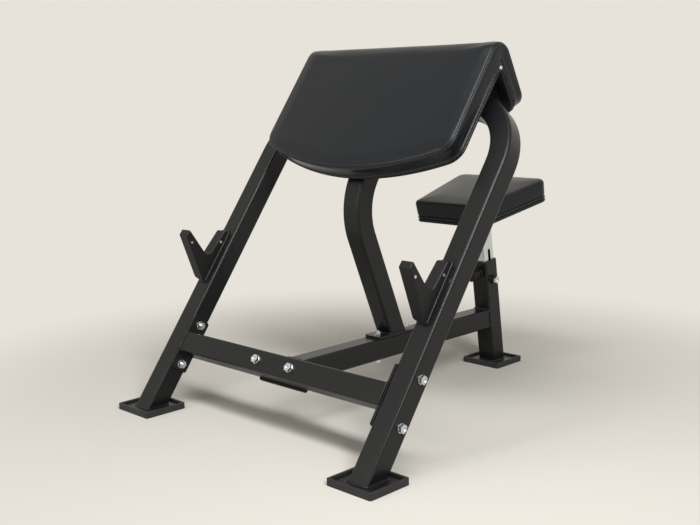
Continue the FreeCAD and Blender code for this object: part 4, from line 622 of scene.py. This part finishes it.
def swell_cover(obj, held, most):
    """Fills a cover by cloth simulation, held along its seams and under the board, and keeps that shape."""
    group = obj.vertex_groups.new(name="held")
    group.add(held, 1.0, "REPLACE")
    cloth = obj.modifiers.new("filling", "CLOTH")
    for name, value in CLOTH_SETTINGS.items():
        setattr(cloth.settings, name, value)
    cloth.settings.vertex_group_mass = "held"
    cloth.settings.effector_weights.gravity = 0
    cloth.collision_settings.use_collision = False
    cloth.point_cache.frame_start = 1
    cloth.point_cache.frame_end = CLOTH_FRAMES
    scene = bpy.context.scene
    for number in range(1, CLOTH_FRAMES + 1):
        scene.frame_set(number)
    filled = obj.evaluated_get(bpy.context.evaluated_depsgraph_get())
    moves = [after.co - before.co for after, before in zip(filled.data.vertices, obj.data.vertices)]
    obj.modifiers.remove(cloth)
    obj.vertex_groups.clear()
    scene.frame_set(1)
    for vertex, move in zip(obj.data.vertices, moves):
        reach = move.length
        if reach > 0:
            vertex.co += move * (most * math.tanh(reach / most) / reach)
    obj.data.update()


def finish_cushion(obj, body, replaced, material):
    """Covers a cushion with its material, smooths it and puts it in place of the CAD cushions."""
    dress(obj, material)
    smooth = obj.modifiers.new("smooth", "SUBSURF")
    smooth.levels = 1
    smooth.render_levels = 2
    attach(obj, body)
    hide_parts(*replaced)


def loop_on(plan, place, inset, height):
    """Closed line on a cushion, with the direction that points out of the cover at each point."""
    spots = [place(across, along, height) for side in plan(inset) for across, along in side]
    outer = [place(across, along, height) for side in plan(inset - 1) for across, along in side]
    return spots, [(away - spot).normalized() for spot, away in zip(spots, outer)]


def steps_along(spots, outs, pitch):
    """Even steps along a closed line: place, direction of the line and the way out at each."""
    steps = []
    carried = 0.0
    for index, start in enumerate(spots):
        end = spots[(index + 1) % len(spots)]
        run = (end - start).length
        if run == 0:
            continue
        while carried <= run:
            share = carried / run
            out = outs[index].lerp(outs[(index + 1) % len(outs)], share).normalized()
            steps.append((start.lerp(end, share), (end - start).normalized(), out))
            carried += pitch
        carried -= run
    return steps


# Stitches: thread's share of the pitch, its lift off the cover in radii, and its shape along and round
STITCH_SHARE = 0.62
STITCH_LIFT = 0.4
STITCH_SECTIONS = [(-0.5, 0.25), (-0.36, 0.9), (0.0, 1.0), (0.36, 0.9), (0.5, 0.25)]
STITCH_SIDES = 6


def add_stitches(points, faces, rows, pitch, radius):
    """Appends one small rounded thread for every stitch of the rows."""
    for spots, outs in rows:
        for centre, along, out in steps_along(spots, outs, pitch):
            across = along.cross(out).normalized()
            lift = along.cross(across).normalized()
            first = len(points)
            for share, swell in STITCH_SECTIONS:
                middle = centre + along * (share * pitch * STITCH_SHARE) + out * (radius * STITCH_LIFT)
                for side in range(STITCH_SIDES):
                    angle = 2 * math.pi * side / STITCH_SIDES
                    away = across * math.cos(angle) + lift * math.sin(angle)
                    points.append(middle + away * (radius * swell))
            sections = len(STITCH_SECTIONS)
            for section in range(sections - 1):
                for side in range(STITCH_SIDES):
                    low = first + section * STITCH_SIDES
                    high = low + STITCH_SIDES
                    after = (side + 1) % STITCH_SIDES
                    faces.append((low + side, low + after, high + after, high + side))
            faces.append(tuple(first + side for side in reversed(range(STITCH_SIDES))))
            last = first + (sections - 1) * STITCH_SIDES
            faces.append(tuple(last + side for side in range(STITCH_SIDES)))


# Rows of stitches on each cushion: inset and height
PAD_STITCHES = [(0.2, 10.6), (0.2, 13.0), (0.8, 44.8), (6.4, 49.3)]
SEAT_STITCHES = [(1.7, 11.9), (1.7, 14.1)]

# Staples: inset from the plan, height of the cover under the board, crown, wire and its bent shape
STAPLE_INSET = 21.0
UNDER_COVER = -0.9
STAPLE_CROWN = 10.0
STAPLE_WIRE = (0.7, 0.5)
STAPLE_SECTION = [(-1, 0), (1, 0), (1, 1), (-1, 1)]
STAPLE_BOW = [(-0.5, -0.6), (-0.46, 0.35), (-0.3, 0.5), (0.3, 0.5), (0.46, 0.35), (0.5, -0.6)]


def add_staples(points, faces, plan, place, pitch):
    """Appends flat-wire staples that hold the cover under the board. They are drawn black, a painted shade
    that keeps them from glinting under the cushion.
    """
    line = [spot for side in plan(STAPLE_INSET) for spot in side]
    spots = [place(across, along, UNDER_COVER) for across, along in line]
    deeper = [place(across, along, UNDER_COVER - 1) for across, along in line]
    outs = [(low - spot).normalized() for spot, low in zip(spots, deeper)]
    corners = len(STAPLE_SECTION)
    for centre, along, out in steps_along(spots, outs, pitch):
        across = along.cross(out).normalized()
        first = len(points)
        for share, rise in STAPLE_BOW:
            middle = centre + along * (share * STAPLE_CROWN) + out * rise
            for side, lift in STAPLE_SECTION:
                points.append(middle + across * (side * STAPLE_WIRE[0]) + out * (lift * STAPLE_WIRE[1]))
        sections = len(STAPLE_BOW)
        for section in range(sections - 1):
            for side in range(corners):
                low = first + section * corners
                high = low + corners
                after = (side + 1) % corners
                faces.append((low + side, low + after, high + after, high + side))
        faces.append(tuple(first + side for side in reversed(range(corners))))
        last = first + (sections - 1) * corners
        faces.append(tuple(last + side for side in range(corners)))


# Weld beads

leg_lean = math.radians(LEG_LEAN)
ALONG_LEG = Vector((0, math.sin(leg_lean), math.cos(leg_lean)))
OUT_OF_LEG = Vector((0, -math.cos(leg_lean), math.sin(leg_lean)))
ACROSS = Vector((1, 0, 0))
BACK = Vector((0, 1, 0))
rear_post_lean = math.radians(REAR_POST_LEAN)
ALONG_POST = Vector((0, -math.sin(rear_post_lean), math.cos(rear_post_lean)))
FRONT_OF_POST = Vector((0, -math.cos(rear_post_lean), -math.sin(rear_post_lean)))

# Beads: radius, steps along and round, and the ripples and unevenness as lengths and shares of the radius
BEAD_RADIUS = 2.6
BEAD_STEP = 1.6
BEAD_SIDES = 8
RIPPLE_LENGTH = 4.2
RIPPLE_SHARE = 0.13
UNEVEN_LENGTH = 6.0
UNEVEN_SHARE = 0.10
TUBE_CORNER = 6.0
QUARTER_STEPS = 6


def rounded_path(centre, first, second, half_first, half_second, corner):
    """Closed path round a rectangle with rounded corners, with the way out at each point."""
    spots, outs = [], []
    quarter = [(1, 1, 0.0), (-1, 1, 0.5), (-1, -1, 1.0), (1, -1, 1.5)]
    for sign_first, sign_second, start in quarter:
        middle = (centre + first * (sign_first * (half_first - corner))
                  + second * (sign_second * (half_second - corner)))
        for step in range(QUARTER_STEPS + 1):
            angle = math.pi * (start + step / (2 * QUARTER_STEPS))
            out = first * math.cos(angle) + second * math.sin(angle)
            spots.append(middle + out * corner)
            outs.append(out)
    return spots, outs


def add_bead(points, faces, path):
    """Appends a rippled weld bead along a closed path."""
    steps = steps_along(path[0], path[1], BEAD_STEP)
    first = len(points)
    travelled = 0.0
    for centre, along, out in steps:
        side_way = along.cross(out).normalized()
        ripple = 1 + RIPPLE_SHARE * math.sin(2 * math.pi * travelled / RIPPLE_LENGTH)
        ripple += UNEVEN_SHARE * noise.noise(centre / UNEVEN_LENGTH)
        for side in range(BEAD_SIDES):
            angle = 2 * math.pi * side / BEAD_SIDES
            away = out * math.cos(angle) + side_way * math.sin(angle)
            points.append(centre + away * (BEAD_RADIUS * ripple))
        travelled += BEAD_STEP
    count = len(steps)
    for index in range(count):
        here, after = first + index * BEAD_SIDES, first + (index + 1) % count * BEAD_SIDES
        for side in range(BEAD_SIDES):
            turn = (side + 1) % BEAD_SIDES
            faces.append((here + side, after + side, after + turn, here + turn))


def node_top(node):
    """Height of a CAD node's top in millimetres."""
    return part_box(node)[1].z / MM


def node_middle(node):
    """Middle of a CAD node's box in millimetres."""
    low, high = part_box(node)
    return (low + high) / (2 * MM)


def frame_bead_paths():
    """Where the frame's tubes and bosses are welded."""
    slanted = TUBE_HALF / math.cos(leg_lean)
    upright = TUBE_HALF / math.cos(rear_post_lean)
    leaning = TUBE_HALF / math.cos(math.radians(CENTRE_POST_LEAN))
    paths = []
    for side in ("left", "right"):
        foot = node_middle(side + "_foot_plate")
        foot.z = node_top(side + "_foot_plate")
        paths.append(rounded_path(foot, ACROSS, BACK, TUBE_HALF, slanted, TUBE_CORNER))
    foot_top = node_top("rear_foot_plate")
    foot = Vector((0, REAR_FOOT - foot_top * math.tan(rear_post_lean), foot_top))
    paths.append(rounded_path(foot, ACROSS, BACK, TUBE_HALF, upright, TUBE_CORNER))
    base = node_middle("post_base_plate")
    base.z = node_top("post_base_plate")
    paths.append(rounded_path(base, ACROSS, BACK, TUBE_HALF, leaning, TUBE_CORNER))
    beam = node_middle("cross_beam")
    for end in (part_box("cross_beam")[0].x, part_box("cross_beam")[1].x):
        spot = Vector((end / MM, beam.y, beam.z))
        paths.append(rounded_path(spot, ALONG_LEG, OUT_OF_LEG, TUBE_HALF, TUBE_HALF, TUBE_CORNER))
    spine = node_middle("spine_tube")
    plate = node_middle("spine_front_plate")
    plate_rear = (plate - beam).dot(OUT_OF_LEG) - SPINE_PLATE / 2
    beam_to_spine = Vector((0, -beam.y, spine.z - beam.z))
    spine_front = (plate_rear - beam_to_spine.dot(OUT_OF_LEG)) / OUT_OF_LEG.y
    spot = Vector((0, spine_front, spine.z))
    paths.append(rounded_path(spot, ACROSS, ALONG_LEG, TUBE_HALF, slanted, TUBE_CORNER))
    rear = Vector((0, REAR_FOOT - spine.z * math.tan(rear_post_lean) - upright, spine.z))
    paths.append(rounded_path(rear, ACROSS, ALONG_POST, TUBE_HALF, upright, TUBE_CORNER))
    post_foot = Vector((0, REAR_FOOT, 0))
    clamp = post_foot + ALONG_POST * CLAMP_HEIGHT + FRONT_OF_POST * TUBE_HALF
    paths.append(rounded_path(clamp, ACROSS, ALONG_POST, BOSS_RADIUS, BOSS_RADIUS, BOSS_RADIUS))
    stop = post_foot + ALONG_POST * LIMIT_HEIGHT + ACROSS * TUBE_HALF
    paths.append(rounded_path(stop, ALONG_POST, FRONT_OF_POST, BOSS_RADIUS, BOSS_RADIUS, BOSS_RADIUS))
    return paths


# Operators

class BENCH_OT_steelwork(bpy.types.Operator):
    """Coats the welded tubes, the plates and the catches' hooks"""
    bl_idname = "bench.steelwork"
    bl_label = "Coated steel"

    def execute(self, context):
        dress_slot("powder_coated_steel", powder_coated_steel())
        return {"FINISHED"}


class BENCH_OT_boards(bpy.types.Operator):
    """Colours the plywood boards in the cushions near black"""
    bl_idname = "bench.boards"
    bl_label = "Boards"

    def execute(self, context):
        dress_slot("plywood", near_black_plywood())
        return {"FINISHED"}


class BENCH_OT_bright_metal(bpy.types.Operator):
    """Plates the fasteners with zinc and the seat post with chrome"""
    bl_idname = "bench.bright_metal"
    bl_label = "Bright metal"

    def execute(self, context):
        dress_slot("zinc_plated_steel", zinc_plated_steel())
        dress_slot("chrome", chrome_plate())
        return {"FINISHED"}


class BENCH_OT_mouldings(bpy.types.Operator):
    """Finishes the rubber shoes and the moulded plastic pieces"""
    bl_idname = "bench.mouldings"
    bl_label = "Rubber and plastic"

    def execute(self, context):
        dress_slot("rubber", moulded_rubber())
        dress_slot("plastic", moulded_plastic())
        return {"FINISHED"}


class BENCH_OT_arm_pad(bpy.types.Operator):
    """Makes the arm pad's cover over the ridge"""
    bl_idname = "bench.arm_pad"
    bl_label = "Arm pad"

    def execute(self, context):
        made = context.scene.bench_upholstery
        pad, held = make_cushion("arm_pad", arm_pad_plan, over_ridge, PAD_PROFILE, PAD_TOP, made.pucker / MM)
        swell_cover(pad, held, made.swell)
        finish_cushion(pad, "frame", ("front_cushion", "rear_cushion"), embossed_vinyl())
        return {"FINISHED"}


class BENCH_OT_seat(bpy.types.Operator):
    """Makes the seat's cover"""
    bl_idname = "bench.seat"
    bl_label = "Seat"

    def execute(self, context):
        made = context.scene.bench_upholstery
        seat, held = make_cushion("seat_pad", seat_plan, on_seat, SEAT_PROFILE, SEAT_TOP, made.pucker / MM)
        swell_cover(seat, held, made.swell)
        finish_cushion(seat, "seat", ("seat_cushion",), bpy.data.materials["embossed_black_upholstery_vinyl"])
        return {"FINISHED"}


class BENCH_OT_sewing(bpy.types.Operator):
    """Sews the seams and staples the covers under the boards"""
    bl_idname = "bench.sewing"
    bl_label = "Stitches and staples"

    def execute(self, context):
        made = context.scene.bench_upholstery
        # the staples take the black coat as painted shade, so that they show no glint in the shade under the
        # cushion
        thread, wire = sewing_thread(), bpy.data.materials["satin_black_powder_coat"]
        cushions = (("arm_pad", arm_pad_plan, over_ridge, PAD_STITCHES, "frame"),
                    ("seat_pad", seat_plan, on_seat, SEAT_STITCHES, "seat"))
        for name, plan, place, rows, body in cushions:
            points, faces = [], []
            lines = [loop_on(plan, place, inset, height) for inset, height in rows]
            add_stitches(points, faces, lines, made.stitch_pitch / MM, made.thread_radius / MM)
            stitches = new_mesh(name + "_stitches", points, faces)
            dress(stitches, thread)
            points, faces = [], []
            add_staples(points, faces, plan, place, made.staple_pitch / MM)
            staples = new_mesh(name + "_staples", points, faces, smooth=False)
            dress(staples, wire)
            for piece, slot_name in ((stitches, "vinyl"), (staples, "powder_coated_steel")):
                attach(piece, body)
        return {"FINISHED"}


class BENCH_OT_welds(bpy.types.Operator):
    """Lays weld beads where tubes and bosses meet plates"""
    bl_idname = "bench.welds"
    bl_label = "Weld beads"

    def execute(self, context):
        seat_foot = seat_frame @ Vector((0, 0, -SEAT_PLATE))
        seat_way = seat_frame.to_3x3() @ BACK
        seat_paths = [rounded_path(seat_foot, ACROSS, seat_way, SLIDE_HALF, SLIDE_HALF, TUBE_CORNER)]
        welds = (("frame_welds", frame_bead_paths(), "frame"), ("seat_weld", seat_paths, "seat"))
        for name, paths, body in welds:
            points, faces = [], []
            for path in paths:
                add_bead(points, faces, path)
            beads = new_mesh(name, points, faces)
            dress(beads, bpy.data.materials["satin_black_powder_coat"])
            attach(beads, body)
        return {"FINISHED"}


# Camera solved from the bench's own edges: place in metres, angles in degrees
CAMERA_PLACE = (1.60307, -1.74795, 0.73831)
CAMERA_AZIMUTH = 44.45
CAMERA_ELEVATION = 9.75
CAMERA_ROLL = -0.9
CAMERA_LENS = 52.26
CAMERA_SENSOR = 36.0
CAMERA_NEAR = 0.05
CAMERA_FAR = 60.0

FLOOR_RADIUS = 14000.0
FLOOR_SIDES = 96

# Lamps: place, aim and size in metres, and the setting that holds the power
LAMPS = {
    "key_lamp": ((-0.9, -3.1, 1.5), (0, -0.1, 0.5), (1.8, 1.8), "key_power"),
    "top_lamp": ((0.8, -1.2, 2.9), (0.8, -0.1, 0.7), (2.2, 0.7), "top_power"),
    "side_lamp": ((2.2, -1.1, 2.1), (0, -0.1, 0.5), (0.5, 1.4), "side_power"),
}


def looked_at(tree):
    """One where the camera sees the background, straight or in gloss and glass, and none for its light."""
    path = add_node(tree, "ShaderNodeLightPath")
    seen = path.outputs["Is Camera Ray"]
    for ray in ("Is Glossy Ray", "Is Transmission Ray"):
        seen = add_node(tree, "ShaderNodeMath", {"operation": "MAXIMUM"},
                        links={0: seen, 1: path.outputs[ray]}).outputs["Value"]
    return seen


def studio_floor(studio):
    """Painted studio board: an even matte with the faintest roller mottle, fading into the background."""
    material, tree, shader, place = start_material(
        "matte_painted_studio_floor", {"Roughness": 0.9, "IOR": 1.45})
    mottle = noise_of(tree, place, size=220, detail=3.0)
    bright = add_node(tree, "ShaderNodeMapRange", values={"To Min": 0.985, "To Max": 1.0},
                      links={"Value": mottle})
    tone = add_node(tree, "ShaderNodeMix", {"data_type": "RGBA", "blend_type": "MULTIPLY"},
                    {0: 1.0, 6: studio.floor}, {7: bright.outputs["Result"]})
    tree.links.new(tone.outputs[2], shader.inputs["Base Color"])
    away = add_node(tree, "ShaderNodeVectorMath", {"operation": "LENGTH"}, links={0: place})
    fade = add_node(tree, "ShaderNodeMapRange", {"interpolation_type": "SMOOTHSTEP"},
                    {"From Min": studio.fade_start, "From Max": studio.fade_end},
                    {"Value": away.outputs["Value"]})
    share = add_node(tree, "ShaderNodeMath", {"operation": "MULTIPLY"},
                     links={0: fade.outputs["Result"], 1: looked_at(tree)})
    far = add_node(tree, "ShaderNodeEmission", values={"Color": studio.backdrop})
    mixed = add_node(tree, "ShaderNodeMixShader",
                     links={0: share.outputs["Value"], 1: shader.outputs["BSDF"], 2: far.outputs["Emission"]})
    tree.links.new(mixed.outputs["Shader"], tree.nodes["Material Output"].inputs["Surface"])
    return material


def soft_lamp(name, place, aim, size, power):
    """A rectangular lamp that shines from a place towards its aim."""
    data = bpy.data.lights.new(name, "AREA")
    data.shape = "RECTANGLE"
    data.size, data.size_y = size
    data.energy = power
    lamp = bpy.data.objects.new(name, data)
    lamp.location = place
    lamp.rotation_euler = (Vector(aim) - Vector(place)).to_track_quat("-Z", "Y").to_euler()
    bpy.context.scene.collection.objects.link(lamp)


class BENCH_OT_studio(bpy.types.Operator):
    """Sets up the floor, background, lamps and camera"""
    bl_idname = "bench.studio"
    bl_label = "Studio"

    def execute(self, context):
        studio = context.scene.bench_studio
        rim = [(FLOOR_RADIUS * math.cos(turn), FLOOR_RADIUS * math.sin(turn), 0)
               for turn in spread(0, 2 * math.pi, FLOOR_SIDES)]
        floor = new_mesh("studio_floor", rim, [tuple(range(FLOOR_SIDES))], smooth=False)
        dress(floor, studio_floor(studio))

        world = bpy.data.worlds.new("studio_room")
        context.scene.world = world
        world.use_nodes = True
        tree = world.node_tree
        tree.nodes.clear()
        power = add_node(tree, "ShaderNodeMapRange", values={"To Min": studio.room_light, "To Max": 1.0},
                         links={"Value": looked_at(tree)})
        room = add_node(tree, "ShaderNodeBackground", values={"Color": studio.backdrop},
                        links={"Strength": power.outputs["Result"]})
        add_node(tree, "ShaderNodeOutputWorld", links={"Surface": room.outputs["Background"]})

        for name, (place, aim, size, setting) in LAMPS.items():
            soft_lamp(name, place, aim, size, getattr(studio, setting))

        azimuth, elevation = math.radians(CAMERA_AZIMUTH), math.radians(CAMERA_ELEVATION)
        ahead = Vector((-math.sin(azimuth) * math.cos(elevation), math.cos(azimuth) * math.cos(elevation),
                        -math.sin(elevation)))
        level = Vector((math.cos(azimuth), math.sin(azimuth), 0))
        above = level.cross(ahead)
        roll = math.radians(CAMERA_ROLL)
        right = level * math.cos(roll) + above * math.sin(roll)
        top = above * math.cos(roll) - level * math.sin(roll)
        data = bpy.data.cameras.new("photo_camera")
        data.lens = CAMERA_LENS
        data.sensor_width = CAMERA_SENSOR
        data.sensor_fit = "HORIZONTAL"
        data.clip_start = CAMERA_NEAR
        data.clip_end = CAMERA_FAR
        camera = bpy.data.objects.new("photo_camera", data)
        turn = Matrix((right, top, -ahead)).transposed().to_4x4()
        camera.matrix_world = Matrix.Translation(CAMERA_PLACE) @ turn
        context.scene.collection.objects.link(camera)
        context.scene.camera = camera
        context.scene.view_settings.view_transform = "Standard"
        return {"FINISHED"}


OPERATORS = (
    BENCH_OT_steelwork, BENCH_OT_boards, BENCH_OT_bright_metal, BENCH_OT_mouldings, BENCH_OT_arm_pad,
    BENCH_OT_seat, BENCH_OT_sewing, BENCH_OT_welds, BENCH_OT_studio,
)
GROUPS = (
    ("bench_finishes", BenchFinishes), ("bench_upholstery", BenchUpholstery), ("bench_studio", BenchStudio),
)


class BENCH_PT_panel(bpy.types.Panel):
    """Lists the steps that dress the bench and their settings"""
    bl_idname = "BENCH_PT_panel"
    bl_label = "Preacher curl bench"
    bl_space_type = "VIEW_3D"
    bl_region_type = "UI"
    bl_category = "Bench"

    def draw(self, context):
        for operator in OPERATORS:
            self.layout.operator(operator.bl_idname)
        for name, group in GROUPS:
            box = self.layout.box()
            for setting in group.__annotations__:
                box.prop(getattr(context.scene, name), setting)


def register():
    """Adds the settings, the steps and the panel to Blender."""
    for name, group in GROUPS:
        bpy.utils.register_class(group)
        setattr(bpy.types.Scene, name, bpy.props.PointerProperty(type=group))
    for operator in OPERATORS:
        bpy.utils.register_class(operator)
    bpy.utils.register_class(BENCH_PT_panel)


def unregister():
    """Takes them out again."""
    bpy.utils.unregister_class(BENCH_PT_panel)
    for operator in reversed(OPERATORS):
        bpy.utils.unregister_class(operator)
    for name, group in reversed(GROUPS):
        delattr(bpy.types.Scene, name)
        bpy.utils.unregister_class(group)


def main():
    """Runs every step."""
    register()
    bpy.ops.bench.steelwork()
    bpy.ops.bench.boards()
    bpy.ops.bench.bright_metal()
    bpy.ops.bench.mouldings()
    bpy.ops.bench.arm_pad()
    bpy.ops.bench.seat()
    bpy.ops.bench.sewing()
    bpy.ops.bench.welds()
    bpy.ops.bench.studio()


if __name__ == "__main__":
    main()
